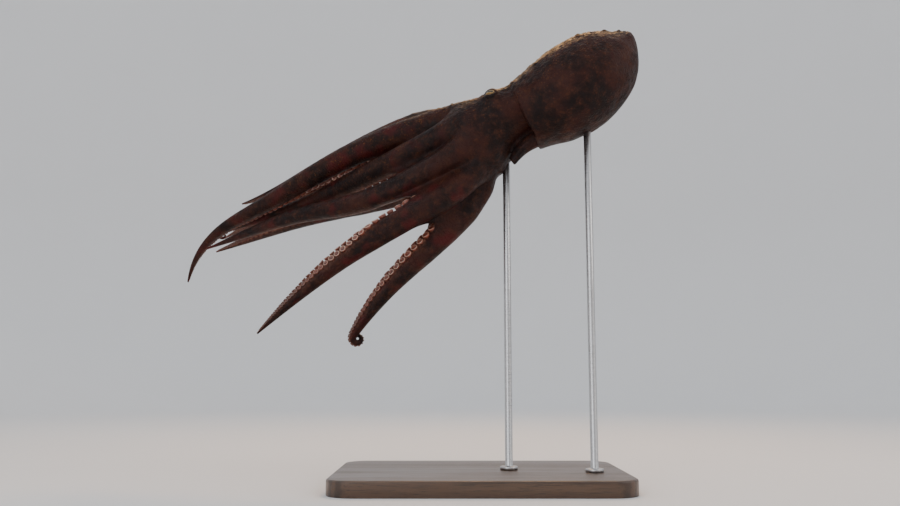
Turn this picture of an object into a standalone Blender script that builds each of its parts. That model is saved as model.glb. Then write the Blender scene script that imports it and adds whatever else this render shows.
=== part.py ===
"""A common octopus jetting backwards, mantle first, as a still life-size model on a stand.

Metres and degrees. +Z is up and the stand's underside is at Z = 0. The mantle points to +X and
slightly to -Y, the arms trail to -X, and the animal's left side faces -Y, rolled belly outwards.
"""

import math

import bmesh
import bpy
import numpy as np

GAP = 0.0003  # between neighbouring pieces
SIDES = 12  # round an arm

# The body runs back from the middle of the ring of arms, the crown, to the mantle's end.
CROWN = (0.0, 0.0, 0.42)
BODY_LENGTH = 0.223
BODY_SLOPES = (25, 25, 32, 48)  # climb of its axis at equal steps, head to tail
BODY_SWING = -12  # turn of its axis towards -Y
BANK = 8  # roll that turns the belly towards -Y
BODY_SIDES = 24
NECK = 0.066  # from the crown back to the mantle's front edge
WIDEST = 0.125
HEAD = (  # from the crown, half width, height above the axis, depth below it
    (0.000, 0.0525, 0.0525, 0.0525),
    (0.012, 0.0495, 0.0490, 0.0500),
    (0.022, 0.0475, 0.0460, 0.0430),
    (0.034, 0.0460, 0.0440, 0.0322),
    (0.046, 0.0450, 0.0430, 0.0268),
    (0.056, 0.0435, 0.0425, 0.0243),
    (0.066, 0.0430, 0.0430, 0.0238),
)
MANTLE = (  # from the crown, half width, height above the axis, depth below it
    (0.066, 0.0450, 0.0440, 0.0450),
    (0.080, 0.0485, 0.0465, 0.0475),
    (0.098, 0.0540, 0.0510, 0.0525),
    (0.125, 0.0575, 0.0560, 0.0565),
)
TAIL_POWERS = ((2.3, 1.6), (3.2, 1.9), (2.0, 1.6))  # roundness of the mantle's end: sides, top and under
TAIL_POINT = 0.0100  # height of the blunt point that the mantle's end is drawn up to
TAIL_POINT_SPREAD = 0.0125
HEAD_RINGS = (0, 0.008, 0.017, 0.025, 0.033, 0.040, 0.047, 0.055, NECK - GAP / 2)
MANTLE_RINGS = (NECK + GAP / 2, 0.074, 0.084, 0.097, 0.111, WIDEST)
TAIL_RINGS = (0.14, 0.28, 0.42, 0.56, 0.69, 0.80, 0.89)  # shares of a quarter turn past the widest

EYE_BACK = 0.040  # from the crown
EYE_ANGLE = 60  # from the top of the head
EYE_RADIUS = 0.0095
EYE_MOUND = 0.0075  # height of the swelling that carries the eye
EYE_MOUND_SPREAD = 0.0125
EYE_PROUD = 0.0022  # how far the ball stands out of the swelling

SIPHON = (  # from the crown, its middle below the body's axis, radius
    (0.0285, 0.0462, 0.0060),
    (0.0360, 0.0420, 0.0070),
    (0.0450, 0.0380, 0.0084),
    (0.0550, 0.0356, 0.0096),
    (0.0655, 0.0350, 0.0104),
)
SIPHON_BORE = 0.0036
SIPHON_BORE_DEPTH = 0.014
SIPHON_LIP = 0.0014  # width of its rounded rim

MOUTH = (  # radius, height in front of the crown
    (0.0122, GAP), (0.0118, 0.0040), (0.0095, 0.0078), (0.0062, 0.0090), (0.0046, 0.0080),
)
MOUTH_FLOOR = 0.0075
BEAK = ((0.0040, 0.0084), (0.0036, 0.0105), (0.0020, 0.0135))  # the same
BEAK_POINT = (0.0155, 0.0012)  # height, and how far it hooks

# Arms stand on a ring round the mouth, numbered from the back down each side.
RING = 0.036
ARM_DEPTH = 0.0165  # half, from the back of the arm to the sucker side, at the root
ARM_WIDTH = 0.0145  # half, across
ARM_TIP = 0.0011  # half, at the very end
SUCKER_RIDGE = 0.22  # height of the two rows of suckers, as a share of the arm's depth
ROOT_BLEND = 0.050  # length over which a root's wedge becomes a round arm
MOUTH_RADIUS = 0.0130
ARMS = {
    # angle round the crown, length, slopes and swings at equal steps, fullness, twist, tip curl, start
    "L1": (22.5, 0.463, (193, 199, 208, 205, 253), (15, 11, 16, 24, 26), 2.0, -60, 0, 0.8),
    "L2": (67.5, 0.402, (212, 201, 200, 191, 197), (14, 23, 26, 20, 20), 2.0, 0, 290, 0.945),
    "L3": (112.5, 0.405, (217, 205, 186, 194, 196), (4, 15, 23, 25, 23), 2.0, 0, 0, 0.8),
    "L4": (157.5, 0.347, (237, 212, 214, 221, 225), (-11, -9, -5, 1, 3), 2.3, -72, 0, 0.8),
    "R4": (202.5, 0.311, (250, 230, 224, 233, 242), (-5, -9, -3, 4, 24), 2.3, -18, 420, 0.878),
    "R3": (247.5, 0.411, (208, 194, 190, 196, 197), (16, 16, 17, 19, 19), 2.0, 0, 0, 0.8),
    "R2": (292.5, 0.400, (182, 192, 198, 202, 204), (20, 19, 18, 20, 20), 2.0, 0, 0, 0.8),
    "R1": (337.5, 0.361, (157, 193, 200, 203, 193), (28, 22, 20, 19, 19), 2.0, 0, 0, 0.8),
}
ARM_ORDER = ("L1", "L2", "L3", "L4", "R4", "R3", "R2", "R1")
ARM_PARTS = ("base", "middle", "tip")
ARM_CUTS = (0.34, 0.67)
ARM_RINGS = (10, 7, 12)
CURL_RINGS = {"R4": 20}  # in the tip of an arm that coils up
ROOT_BUNCH, TIP_BUNCH = 1.25, 1.6  # above 1, an arm's rings crowd towards its root and its tip
TWIST_OVER = 0.30  # share of an arm over which its twist grows
TWIST_START = 0.25  # where it starts, but for these arms
TWIST_STARTS = {"L1": 0.08, "L4": 0.32}
CURL_GROWTH = 1.2  # power by which a tip's curl tightens

# The web is a skin between neighbouring arms.
WEB_TO = 0.128  # along the arms
WEB_LEAST = 0.0025  # narrowest web
WEB_CLEAR = 0.0011
WEB_SEAT = (60, 125)  # how far round from its back an arm may carry the web
WEB_DIP = 0.26  # how deep its free edge is scooped, as a share of its length
WEB_THICK = 0.0028
WEB_STEPS, WEB_ACROSS = 7, 5

BASE_SIZE = (0.34, 0.23, 0.018)
BASE_CORNER = 0.030
ROD_RADIUS = 0.0045
ROD_SOCKET = 0.010  # how deep each rod enters the body
RODS = {"front": (0.035, 0.0), "rear": (0.132, -0.028)}

SKIN = (0.13, 0.055, 0.032)
COLOURS = {
    "mantle": SKIN,
    "head": SKIN,
    "siphon": SKIN,
    "eye": (0.45, 0.33, 0.14),
    "mouth": (0.45, 0.27, 0.2),
    "beak": (0.03, 0.018, 0.012),
    "arm": (0.12, 0.045, 0.028),
    "web": (0.14, 0.05, 0.035),
    "base": (0.07, 0.042, 0.026),
    "rod": (0.6, 0.6, 0.62),
}


def smooth(values, f):
    """A curve through equally spaced values, read at shares f of its length."""
    v = np.asarray(values, float)
    last = len(v) - 1
    p = np.concatenate([[2 * v[0] - v[1]], v, [2 * v[-1] - v[-2]]])
    x = np.clip(np.asarray(f, float), 0, 1) * last
    i = np.minimum(x.astype(int), last - 1)
    t = x - i
    a, b, c, d = p[i], p[i + 1], p[i + 2], p[i + 3]
    return b + 0.5 * t * (c - a + t * (2 * a - 5 * b + 4 * c - d + t * (3 * (b - c) + d - a)))


def through(table, column, x):
    """A smooth curve through a table's column against its first, read at x."""
    xs, ys = np.array(table)[:, 0], np.array(table)[:, column]
    slope = np.gradient(ys, xs)
    x = np.clip(np.asarray(x, float), xs[0], xs[-1])
    i = np.clip(np.searchsorted(xs, x, side="right") - 1, 0, len(xs) - 2)
    h = xs[i + 1] - xs[i]
    t = (x - xs[i]) / h
    return (
        ys[i] * (1 + 2 * t) * (1 - t) ** 2
        + h * slope[i] * t * (1 - t) ** 2
        + ys[i + 1] * t * t * (3 - 2 * t)
        - h * slope[i + 1] * t * t * (1 - t)
    )


def ease(x):
    x = np.clip(x, 0, 1)
    return x * x * (3 - 2 * x)


def unit(v):
    return v / np.linalg.norm(v, axis=-1, keepdims=True)


def heading(slope, swing):
    """Directions that climb by slope from +X and turn by swing towards +Y."""
    s, w = np.radians(slope), np.radians(swing)
    return np.stack([np.cos(s) * np.cos(w), np.sin(w) + 0 * s, np.sin(s) * np.cos(w)], -1)


def travel(start, heads, length):
    """The points passed by moving along the headings in equal steps."""
    steps = unit(heads[1:] + heads[:-1]) * (length / (len(heads) - 1))
    return np.vstack([start, start + np.cumsum(steps, axis=0)])


def body_line(back):
    """Axis points, directions to the tail, dorsal and left vectors, at distances back."""
    f = np.linspace(0, 1, 201)
    heads = heading(smooth(BODY_SLOPES, f), BODY_SWING)
    points = travel(np.array(CROWN), heads, BODY_LENGTH)
    at = np.atleast_1d(back) / BODY_LENGTH
    p = np.stack([np.interp(at, f, points[:, k]) for k in range(3)], -1)
    t = unit(np.stack([np.interp(at, f, heads[:, k]) for k in range(3)], -1))
    up = unit(np.array([0, 0, 1.0]) - t[:, 2:3] * t)
    away = np.cross(t, up) * -1  # to the far side, +Y
    away = np.where(away[:, 1:2] < 0, -away, away)
    b = math.radians(BANK)
    return p, t, math.cos(b) * up + math.sin(b) * away, math.sin(b) * up - math.cos(b) * away


def body_ring(back, side, top, under, sides=BODY_SIDES):
    """Closed rings round the body axis at distances back, one row of points each."""
    p, _, dorsal, left = body_line(back)
    a = np.arange(sides) * 2 * math.pi / sides
    c, s = np.cos(a), np.sin(a)
    high = np.where(c > 0, np.outer(top, c), np.outer(under, c))
    wide = np.outer(side, s)
    return p[:, None] + high[..., None] * dorsal[:, None] + wide[..., None] * left[:, None]


def add_object(name, mesh, kind):
    ob = bpy.data.objects.new(name, mesh)
    bpy.context.scene.collection.objects.link(ob)
    colour = COLOURS[kind]
    mat = bpy.data.materials.new(name + "_material")
    mat.use_nodes = True
    shader = mat.node_tree.nodes["Principled BSDF"]
    shader.inputs["Base Color"].default_value = (*colour, 1)
    shader.inputs["Roughness"].default_value = 0.3 if kind in ("eye", "rod", "beak") else 0.5
    shader.inputs["Metallic"].default_value = 1.0 if kind == "rod" else 0.0
    mesh.materials.append(mat)
    return ob


def finish(name, bm, kind, crease=40):
    """Turns the faces outwards, makes the object and shades it smooth."""
    bmesh.ops.remove_doubles(bm, verts=bm.verts, dist=0.00001)
    bmesh.ops.triangulate(bm, faces=bm.faces)
    bmesh.ops.recalc_face_normals(bm, faces=bm.faces)
    mesh = bpy.data.meshes.new(name)
    bm.to_mesh(mesh)
    bm.free()
    mesh.shade_smooth()
    mesh.set_sharp_from_angle(angle=math.radians(crease))
    return add_object(name, mesh, kind)


def loft(name, rings, kind, ends=(None, None), crease=40):
    """A closed solid through rings of points. An end is a middle point, or None for the ring's own."""
    bm = bmesh.new()
    rows = [[bm.verts.new(p) for p in ring] for ring in rings]
    n = len(rows[0])
    for a, b in zip(rows, rows[1:]):
        for k in range(n):
            bm.faces.new((a[k], a[(k + 1) % n], b[(k + 1) % n], b[k]))
    for row, ring, end in ((rows[0], rings[0], ends[0]), (rows[-1], rings[-1], ends[1])):
        middle = bm.verts.new(np.mean(ring, axis=0) if end is None else end)
        for k in range(n):
            bm.faces.new((row[k], row[(k + 1) % n], middle))
    return finish(name, bm, kind, crease)


def eye_place(side):
    """The middle of an eye's swelling on the head, and the way it looks. side is 1 on the left."""
    p, t, dorsal, left = (v[0] for v in body_line(EYE_BACK))
    a = math.radians(EYE_ANGLE)
    out = math.cos(a) * dorsal + side * math.sin(a) * left
    wide, high = through(HEAD, 1, EYE_BACK), through(HEAD, 2, EYE_BACK)
    reach = math.hypot(high * math.cos(a), wide * math.sin(a))
    return p + out * reach, out


def make_head():
    back = np.array(HEAD_RINGS)
    rings = body_ring(back, *(through(HEAD, k, back) for k in (1, 2, 3)))
    for side in (1, -1):
        spot, out = eye_place(side)
        near = np.linalg.norm(rings - spot, axis=-1)
        swell = EYE_MOUND * np.exp(-((near / EYE_MOUND_SPREAD) ** 2) / 2)
        rings = rings + swell[..., None] * out
    p = body_line(back)[0]
    return loft("head", rings, "head", (p[0], p[-1]))


def make_mantle():
    front = np.array(MANTLE_RINGS)
    tail = WIDEST + (BODY_LENGTH - WIDEST) * np.sin(np.array(TAIL_RINGS) * math.pi / 2)
    share = (tail - WIDEST) / (BODY_LENGTH - WIDEST)
    sizes = []
    for column, (grow, shape) in zip((1, 2, 3), TAIL_POWERS):
        shrink = (1 - share**grow) ** (1 / shape)
        sizes.append(np.concatenate([through(MANTLE, column, front), MANTLE[-1][column] * shrink]))
    rings = body_ring(np.concatenate([front, tail]), *sizes)
    end = body_line(BODY_LENGTH)[0][0]
    near = np.linalg.norm(rings - end, axis=-1)
    rings[..., 2] += TAIL_POINT * np.exp(-((near / TAIL_POINT_SPREAD) ** 2) / 2)
    return loft("mantle", rings, "mantle", (body_line(front[0])[0][0], end + np.array((0, 0, TAIL_POINT))))


def ball(name, centre, axis, radii, kind, segments=14, rings=9):
    """A ball stretched to the given radii, whose last radius lies along axis."""
    bm = bmesh.new()
    bmesh.ops.create_uvsphere(bm, u_segments=segments, v_segments=rings, radius=1)
    z = unit(np.asarray(axis, float))
    x = unit(np.cross((0, 1, 0), z))
    frame = np.stack([x * radii[0], np.cross(z, x) * radii[1], z * radii[2]])
    for v in bm.verts:
        v.co = np.asarray(centre) + np.array(v.co) @ frame
    return finish(name, bm, kind, 60)


def cut(ob, tool):
    """Takes the tool's shape out of an object and hides the tool."""
    mod = ob.modifiers.new("cut_" + tool.name, "BOOLEAN")
    mod.operation = "DIFFERENCE"
    mod.solver = "EXACT"
    mod.object = tool
    tool.hide_render = True
    tool.display_type = "WIRE"


def make_eyes(head):
    for side, word in ((1, "left"), (-1, "right")):
        spot, out = eye_place(side)
        centre = spot + out * (EYE_MOUND + EYE_PROUD - EYE_RADIUS)
        r = EYE_RADIUS
        ball("eye_" + word, centre, out, (r, r, r), "eye")
        r = EYE_RADIUS + GAP
        cut(head, ball("socket_" + word, centre, out, (r, r, r), "eye"))


def make_siphon():
    """The tube that the jet leaves by, under the head, with a bore in at its mouth."""
    back = np.linspace(SIPHON[-1][0], SIPHON[0][0], 6)
    radius = through(SIPHON, 2, back)
    p, _, dorsal, left = body_line(back)
    centre = p - dorsal * through(SIPHON, 1, back)[:, None]
    along = unit(np.gradient(centre, axis=0))
    out = unit(dorsal - np.sum(dorsal * along, -1, keepdims=True) * along)
    across = np.cross(out, along)
    out[0], across[0] = dorsal[0], left[0]
    a = np.arange(12) * 2 * math.pi / 12
    turn = np.cos(a)[None, :, None] * out[:, None] + np.sin(a)[None, :, None] * across[:, None]
    outer = centre[:, None] + radius[:, None, None] * turn
    floor = centre[-1] - along[-1] * SIPHON_BORE_DEPTH
    rim = [centre[-1] + (radius[-1] - SIPHON_LIP) * turn[-1] + along[-1] * SIPHON_LIP / 2,
           centre[-1] + SIPHON_BORE * turn[-1], floor + SIPHON_BORE * 0.7 * turn[-1]]
    return loft("siphon", [*outer, *rim], "siphon", (centre[0], floor), 60)


def make_mouth():
    p, t, dorsal, left = (v[0] for v in body_line(0))
    ahead = -t
    a = np.arange(16) * 2 * math.pi / 16
    turn = np.cos(a)[:, None] * dorsal + np.sin(a)[:, None] * left
    rings = [p + ahead * z + turn * r for r, z in MOUTH]
    loft("mouth", rings, "mouth", (p + ahead * GAP, p + ahead * MOUTH_FLOOR), 50)
    a = np.arange(8) * 2 * math.pi / 8
    turn = np.cos(a)[:, None] * dorsal + np.sin(a)[:, None] * left * 0.8
    rings = [p + ahead * z + turn * r for r, z in BEAK]
    height, hook = BEAK_POINT
    loft("beak", rings, "beak", (None, p + ahead * height + dorsal * hook), 50)


def arm_line(name):
    """Points, directions, outward and side vectors along an arm, and its length, in 240 steps."""
    angle, length, slopes, swings, _, twist, curl, start = ARMS[name]
    p, t, dorsal, left = (v[0] for v in body_line(0))
    a = math.radians(angle)
    out = math.cos(a) * dorsal + math.sin(a) * left
    f = np.linspace(0, 1, 241)
    bend = curl * np.clip((f - start) / (1 - start), 0, 1) ** CURL_GROWTH
    heads = heading(smooth(slopes, f) + bend, smooth(swings, f))
    points = travel(p + RING * out - t * GAP, heads, length)
    facing = ease(f * length / ROOT_BLEND)[:, None]
    along = unit((1 - facing) * -t + facing * heads)
    outs = np.empty_like(points)
    for k, way in enumerate(along):
        out = unit(out - np.dot(out, way) * way)
        outs[k] = out
    across = np.cross(along, outs)
    turn = np.radians(twist) * ease((f - TWIST_STARTS.get(name, TWIST_START)) / TWIST_OVER)[:, None]
    c, s = np.cos(turn), np.sin(turn)
    return points, along, c * outs + s * across, c * across - s * outs, f, length


def arm_half_sizes(f, fullness):
    """Half depth and half width of an arm at shares f of its length."""
    left_over = 1 - f**fullness
    return ARM_DEPTH * left_over + ARM_TIP, ARM_WIDTH * left_over + ARM_TIP


def root_wedge():
    """An arm's root seen along the crown: outward and sideways places of its points."""
    half = math.pi / 8
    outer, inner = RING + ARM_DEPTH + ARM_TIP, MOUTH_RADIUS
    spots = ((outer, 0), (outer, 0.5), (outer, 0.96), (0.036, 1), (0.024, 1), (inner, 0.8), (inner, 0))
    rows = []
    for r, share in spots:
        o, l = r * math.cos(half * share), r * math.sin(half * share)
        l = min(l, o * math.tan(half) - GAP / 2 / math.cos(half))
        rows.append((o - RING, l))
    back = [(o, -l) for o, l in rows[-2:0:-1]]
    return np.array(rows + back)


def arm_section(name, shares):
    """Outward and sideways places of the points round an arm, a wedge at the root."""
    deep, wide = arm_half_sizes(shares, ARMS[name][4])
    a = np.arange(SIDES) * 2 * math.pi / SIDES
    ridge = 1 + SUCKER_RIDGE * np.isin(np.arange(SIDES), (5, 7))  # the two rows of suckers
    wedge = root_wedge()
    blend = ease(shares * ARMS[name][1] / ROOT_BLEND)[:, None]
    o = (1 - blend) * wedge[:, 0] + blend * np.outer(deep, np.cos(a) * ridge)
    l = (1 - blend) * wedge[:, 1] + blend * np.outer(wide, np.sin(a))
    return o, l


def arm_at(name, shares):
    """Middle points, outward vectors and vectors to the next arm's side, at shares of an arm."""
    points, _, outs, across, f, _ = arm_line(name)
    rows = [np.stack([np.interp(shares, f, v[:, k]) for k in range(3)], -1) for v in (points, outs, across)]
    return rows[0], unit(rows[1]), -unit(rows[2])


def arm_rings(name, shares):
    """Rings of points round an arm at shares of its length."""
    centre, out, side = (v[:, None] for v in arm_at(name, shares))
    o, l = (v[..., None] for v in arm_section(name, shares))
    return centre + o * out + l * side


def ring_shares(part, rings=None):
    """Where one length of an arm has its rings."""
    a, b = (0, *ARM_CUTS, 1)[part : part + 2]
    x = np.linspace(0, 1, rings or ARM_RINGS[part])
    x = (x**ROOT_BUNCH, x, 1 - (1 - x) ** TIP_BUNCH)[part]
    return a + (b - a) * x


def make_arm(name):
    inset = GAP / 2 / ARMS[name][1]
    for part, word in enumerate(ARM_PARTS):
        shares = ring_shares(part, CURL_RINGS.get(name) if word == "tip" else None)
        shares[0] += inset if part else 0
        shares[-1] -= inset if part < 2 else 0
        loft(f"arm_{name}_{word}", arm_rings(name, shares), "arm", crease=60)


def section_reach(o, l, angle):
    """How far a straight line at an angle runs inside each section."""
    c, s = np.cos(angle)[:, None], np.sin(angle)[:, None]
    step_o, step_l = np.roll(o, -1, 1) - o, np.roll(l, -1, 1) - l
    across = c * step_l - s * step_o
    reach, place = (o * step_l - l * step_o) / across, (o * s - l * c) / across
    return np.max(np.where((place >= 0) & (place <= 1), reach, 0), axis=1)


def web_seats(first, second, s):
    """The lines that the web's two faces follow on each of two arms, at distances s along both."""
    at = []
    for name in (first, second):
        knots = np.concatenate([ring_shares(0), ring_shares(1)[1:]])
        rings, (centre, out, side) = arm_rings(name, knots), arm_at(name, knots)
        share = s / ARMS[name][1]
        read = lambda v: np.stack([np.interp(share, knots, w) for w in v.reshape(len(v), -1).T], -1)
        c, o, l = read(centre), unit(read(out)), unit(read(side))
        points = read(rings).reshape(len(s), SIDES, 3) - c[:, None]
        at.append((c, o, l, np.sum(points * o[:, None], -1), np.sum(points * l[:, None], -1)))
    seats = []
    for here, there, turn in ((at[0], at[1], 1), (at[1], at[0], -1)):
        centre, out, side, o, l = here
        way = there[0] - centre
        angle = np.arctan2(turn * np.sum(way * side, -1), np.sum(way * out, -1))
        angle = np.clip(np.where(angle < -math.pi / 2, math.pi, angle), *np.radians(WEB_SEAT))
        for face in (-1, 1):
            spread = face * WEB_THICK / 2 / section_reach(o, l, turn * angle)
            a = turn * (angle + spread)
            reach = (section_reach(o, l, a) + WEB_CLEAR)[:, None]
            seats.append(centre + reach * (np.cos(a)[:, None] * out + np.sin(a)[:, None] * side))
    return seats


def web_span(first, second):
    """The longest stretch along two arms that has room for a web of fair thickness."""
    s = np.arange(0.006, WEB_TO + 0.0005, 0.001)
    outer, inner, far_outer, far_inner = web_seats(first, second, s)
    room = np.minimum(*(np.linalg.norm(q - p, axis=1) for p, q in ((outer, far_outer), (inner, far_inner))))
    normal = unit(np.cross(np.gradient(outer + far_outer, axis=0), far_outer - outer))
    thick = [np.sum((q - p) * normal, -1) for p, q in ((outer, inner), (far_outer, far_inner))]
    thick = np.minimum(*(t * np.sign(np.median(t)) for t in thick))
    bad = np.nonzero((room < WEB_LEAST) | (thick < WEB_THICK / 5))[0]
    stops = np.concatenate([[-1], bad, [len(s)]])
    k = np.argmax(np.diff(stops))
    return s[stops[k] + 1], s[stops[k + 1] - 1]


def make_web(first, second):
    """A skin between two neighbouring arms, scooped at its free edge."""
    start, end = web_span(first, second)
    share, u = np.linspace(0, 1, WEB_STEPS), np.linspace(0, 1, WEB_ACROSS)
    reach = 1 - WEB_DIP * np.sin(math.pi * u)
    s = start + (end - start) * np.outer(share, reach)
    seats = [v.reshape(*s.shape, 3) for v in web_seats(first, second, s.ravel())]
    u = u[None, :, None]
    bm = bmesh.new()
    sheets = [[[bm.verts.new(p) for p in row] for row in seats[k] * (1 - u) + seats[k + 2] * u]
              for k in (0, 1)]
    rows, cols = s.shape
    for sheet in sheets:
        for i in range(rows - 1):
            for j in range(cols - 1):
                bm.faces.new((sheet[i][j], sheet[i][j + 1], sheet[i + 1][j + 1], sheet[i + 1][j]))
    rim = [(i, 0) for i in range(rows)] + [(rows - 1, j) for j in range(1, cols)]
    rim += [(i, cols - 1) for i in range(rows - 2, -1, -1)] + [(0, j) for j in range(cols - 2, 0, -1)]
    for (i, j), (k, l) in zip(rim, rim[1:] + rim[:1]):
        bm.faces.new((sheets[0][i][j], sheets[0][k][l], sheets[1][k][l], sheets[1][i][j]))
    finish(f"web_{first}_{second}", bm, "web", 50)


def make_stand(held):
    x, y, z = BASE_SIZE
    bm = bmesh.new()
    bmesh.ops.create_cube(bm, size=1)
    for v in bm.verts:
        v.co = (v.co.x * x, v.co.y * y, v.co.z * z + z / 2)
    upright = [e for e in bm.edges if abs(e.verts[0].co.z - e.verts[1].co.z) > z / 2]
    bmesh.ops.bevel(bm, geom=upright, offset=BASE_CORNER, segments=5, affect="EDGES", profile=0.5)
    rim = [e for e in bm.edges if all(v.co.z > z * 0.9 for v in e.verts) and len(e.link_faces) == 2
           and e.calc_face_angle() > 0.5]
    bmesh.ops.bevel(bm, geom=rim, offset=0.002, segments=1, affect="EDGES", profile=0.5)
    finish("stand_base", bm, "base", 35)
    for word, (rx, ry) in RODS.items():
        body = held[word]
        _, spot, _, _ = body.ray_cast((rx, ry, 0), (0, 0, 1))
        top = spot.z + ROD_SOCKET
        rod("stand_rod_" + word, rx, ry, z + GAP, top, ROD_RADIUS, "rod")
        cut(body, rod("bore_" + word, rx, ry, z + GAP, top + GAP, ROD_RADIUS + GAP, "rod"))


def rod(name, x, y, bottom, top, radius, kind):
    bm = bmesh.new()
    bmesh.ops.create_cone(bm, cap_ends=True, segments=16, radius1=radius, radius2=radius, depth=top - bottom)
    bmesh.ops.translate(bm, verts=bm.verts, vec=(x, y, (top + bottom) / 2))
    return finish(name, bm, kind, 40)


def build():
    for ob in list(bpy.data.objects):
        bpy.data.objects.remove(ob, do_unlink=True)
    head, mantle = make_head(), make_mantle()
    make_eyes(head)
    make_siphon()
    make_mouth()
    for name in ARMS:
        make_arm(name)
    for first, second in zip(ARM_ORDER, ARM_ORDER[1:] + ARM_ORDER[:1]):
        make_web(first, second)
    make_stand({"front": head, "rear": mantle})


build()
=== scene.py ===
import math
import bpy
import numpy as np
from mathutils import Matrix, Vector


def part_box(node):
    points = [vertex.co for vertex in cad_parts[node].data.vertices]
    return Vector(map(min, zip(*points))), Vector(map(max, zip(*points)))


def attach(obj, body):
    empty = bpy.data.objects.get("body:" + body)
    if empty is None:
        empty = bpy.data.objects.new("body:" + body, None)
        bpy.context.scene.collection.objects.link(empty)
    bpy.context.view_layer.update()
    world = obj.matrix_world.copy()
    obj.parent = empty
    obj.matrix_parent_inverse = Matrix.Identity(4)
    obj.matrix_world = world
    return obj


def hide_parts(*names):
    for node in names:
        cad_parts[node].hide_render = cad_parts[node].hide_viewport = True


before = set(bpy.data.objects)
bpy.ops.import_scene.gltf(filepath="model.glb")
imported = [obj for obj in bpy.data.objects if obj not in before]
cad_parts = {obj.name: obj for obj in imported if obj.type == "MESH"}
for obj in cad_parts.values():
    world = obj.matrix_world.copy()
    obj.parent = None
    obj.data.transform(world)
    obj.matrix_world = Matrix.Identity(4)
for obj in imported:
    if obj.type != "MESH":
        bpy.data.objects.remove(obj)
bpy.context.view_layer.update()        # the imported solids, which fix every place below

# the body runs back from the crown, the middle of the ring of arms, to the mantle's end; metres and degrees
body = {
    "crown": (0.0, 0.0, 0.42),
    "length": 0.223,
    "slopes": (25, 25, 32, 48),      # climb of its axis at equal steps
    "swing": -12,
    "bank": 8,                       # roll that turns the belly towards -Y
    "neck": 0.066,
    "widest": 0.125,
    "tail": ((2.3, 1.6), (3.2, 1.9), (2.0, 1.6)),    # roundness of the mantle's end: sides, top and under
    "point": (0.0100, 0.0125),       # height and spread of the blunt point that its end is drawn up to
    "head": (                        # back from the crown, half width, height above the axis, depth below it
        (0.000, 0.0525, 0.0525, 0.0525),
        (0.012, 0.0495, 0.0490, 0.0500),
        (0.022, 0.0475, 0.0460, 0.0430),
        (0.034, 0.0460, 0.0440, 0.0322),
        (0.046, 0.0450, 0.0430, 0.0268),
        (0.056, 0.0435, 0.0425, 0.0243),
        (0.066, 0.0430, 0.0430, 0.0238),
    ),
    "mantle": (
        (0.066, 0.0450, 0.0440, 0.0450),
        (0.080, 0.0485, 0.0465, 0.0475),
        (0.098, 0.0540, 0.0510, 0.0525),
        (0.125, 0.0575, 0.0560, 0.0565),
    ),
}

# each arm: angle round the crown, length, climbs and swings at equal steps, fullness, twist, and the curl of
# its tip with the share of the arm where that starts
arms = {
    "L1": (22.5, 0.463, (193, 199, 208, 205, 253), (15, 11, 16, 24, 26), 2.0, -60, 0, 0.8),
    "L2": (67.5, 0.402, (212, 201, 200, 191, 197), (14, 23, 26, 20, 20), 2.0, 0, 290, 0.945),
    "L3": (112.5, 0.405, (217, 205, 186, 194, 196), (4, 15, 23, 25, 23), 2.0, 0, 0, 0.8),
    "L4": (157.5, 0.347, (237, 212, 214, 221, 225), (-11, -9, -5, 1, 3), 2.3, -72, 0, 0.8),
    "R4": (202.5, 0.311, (250, 230, 224, 233, 242), (-5, -9, -3, 4, 24), 2.3, -18, 420, 0.878),
    "R3": (247.5, 0.411, (208, 194, 190, 196, 197), (16, 16, 17, 19, 19), 2.0, 0, 0, 0.8),
    "R2": (292.5, 0.400, (182, 192, 198, 202, 204), (20, 19, 18, 20, 20), 2.0, 0, 0, 0.8),
    "R1": (337.5, 0.361, (157, 193, 200, 203, 193), (28, 22, 20, 19, 19), 2.0, 0, 0, 0.8),
}
armShape = {
    "ring": 0.036,          # the arms' middles stand this far from the mouth
    "depth": 0.0165,        # half, back to sucker side, at the root
    "width": 0.0145,        # half, across
    "tip": 0.0011,
    "rootBlend": 0.050,     # over this length the root's wedge becomes a round arm
    "rootShare": 0.93,      # how much of its eighth of the ring a root fills
    "mouth": 0.0130,        # radius left clear for the mouth
    "flat": 0.90,           # the sucker side bulges by this share of the half depth
    "groove": (0.06, 0.16),      # depth and width of the groove between its two rows of suckers, as shares
    "twistOver": 0.30,      # share of an arm over which its twist grows
    "twistStart": 0.25,     # where it starts, but for these arms
    "twistStarts": {"L1": 0.08, "L4": 0.32},
}
web = {
    "reach": 0.128,         # along the arms
    "shorter": {"L1": 0.094},    # the web after this arm ends sooner
    "dip": 0.26,            # how deep the free edge is scooped
    "thick": 0.0024,
    "seat": (60, 125),      # how far round from its back an arm may carry the web
    "fillet": 0.0022,
}
armNames = list(arms)
nextArm = dict(zip(armNames, armNames[1:] + armNames[:1]))
lastArm = {there: here for here, there in nextArm.items()}
rootSpread = armShape["rootShare"] * math.pi / 8


# curves, and the frames that carry the body and the arms

def ease(x):    # 3x^2 - 2x^3 between 0 and 1
    x = np.clip(x, 0, 1)
    return x * x * (3 - 2 * x)


def unit(v):    # each vector divided by its length
    return v / np.maximum(np.linalg.norm(v, axis=-1, keepdims=True), 1e-12)


def lerp(a, b, x):    # a at x = 0, b at x = 1
    return a + (b - a) * x


def roundSteps(count):    # equal angles once round
    return np.arange(count) * 2 * math.pi / count


def smoothCurve(values, f):    # a cubic through equally spaced values, read at shares f of its length
    v = np.asarray(values, float)
    last = len(v) - 1
    p = np.concatenate([[2 * v[0] - v[1]], v, [2 * v[-1] - v[-2]]])
    x = np.clip(np.asarray(f, float), 0, 1) * last
    i = np.minimum(x.astype(int), last - 1)
    t = x - i
    a, b, c, d = p[i], p[i + 1], p[i + 2], p[i + 3]
    return b + 0.5 * t * (c - a + t * (2 * a - 5 * b + 4 * c - d + t * (3 * (b - c) + d - a)))


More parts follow.
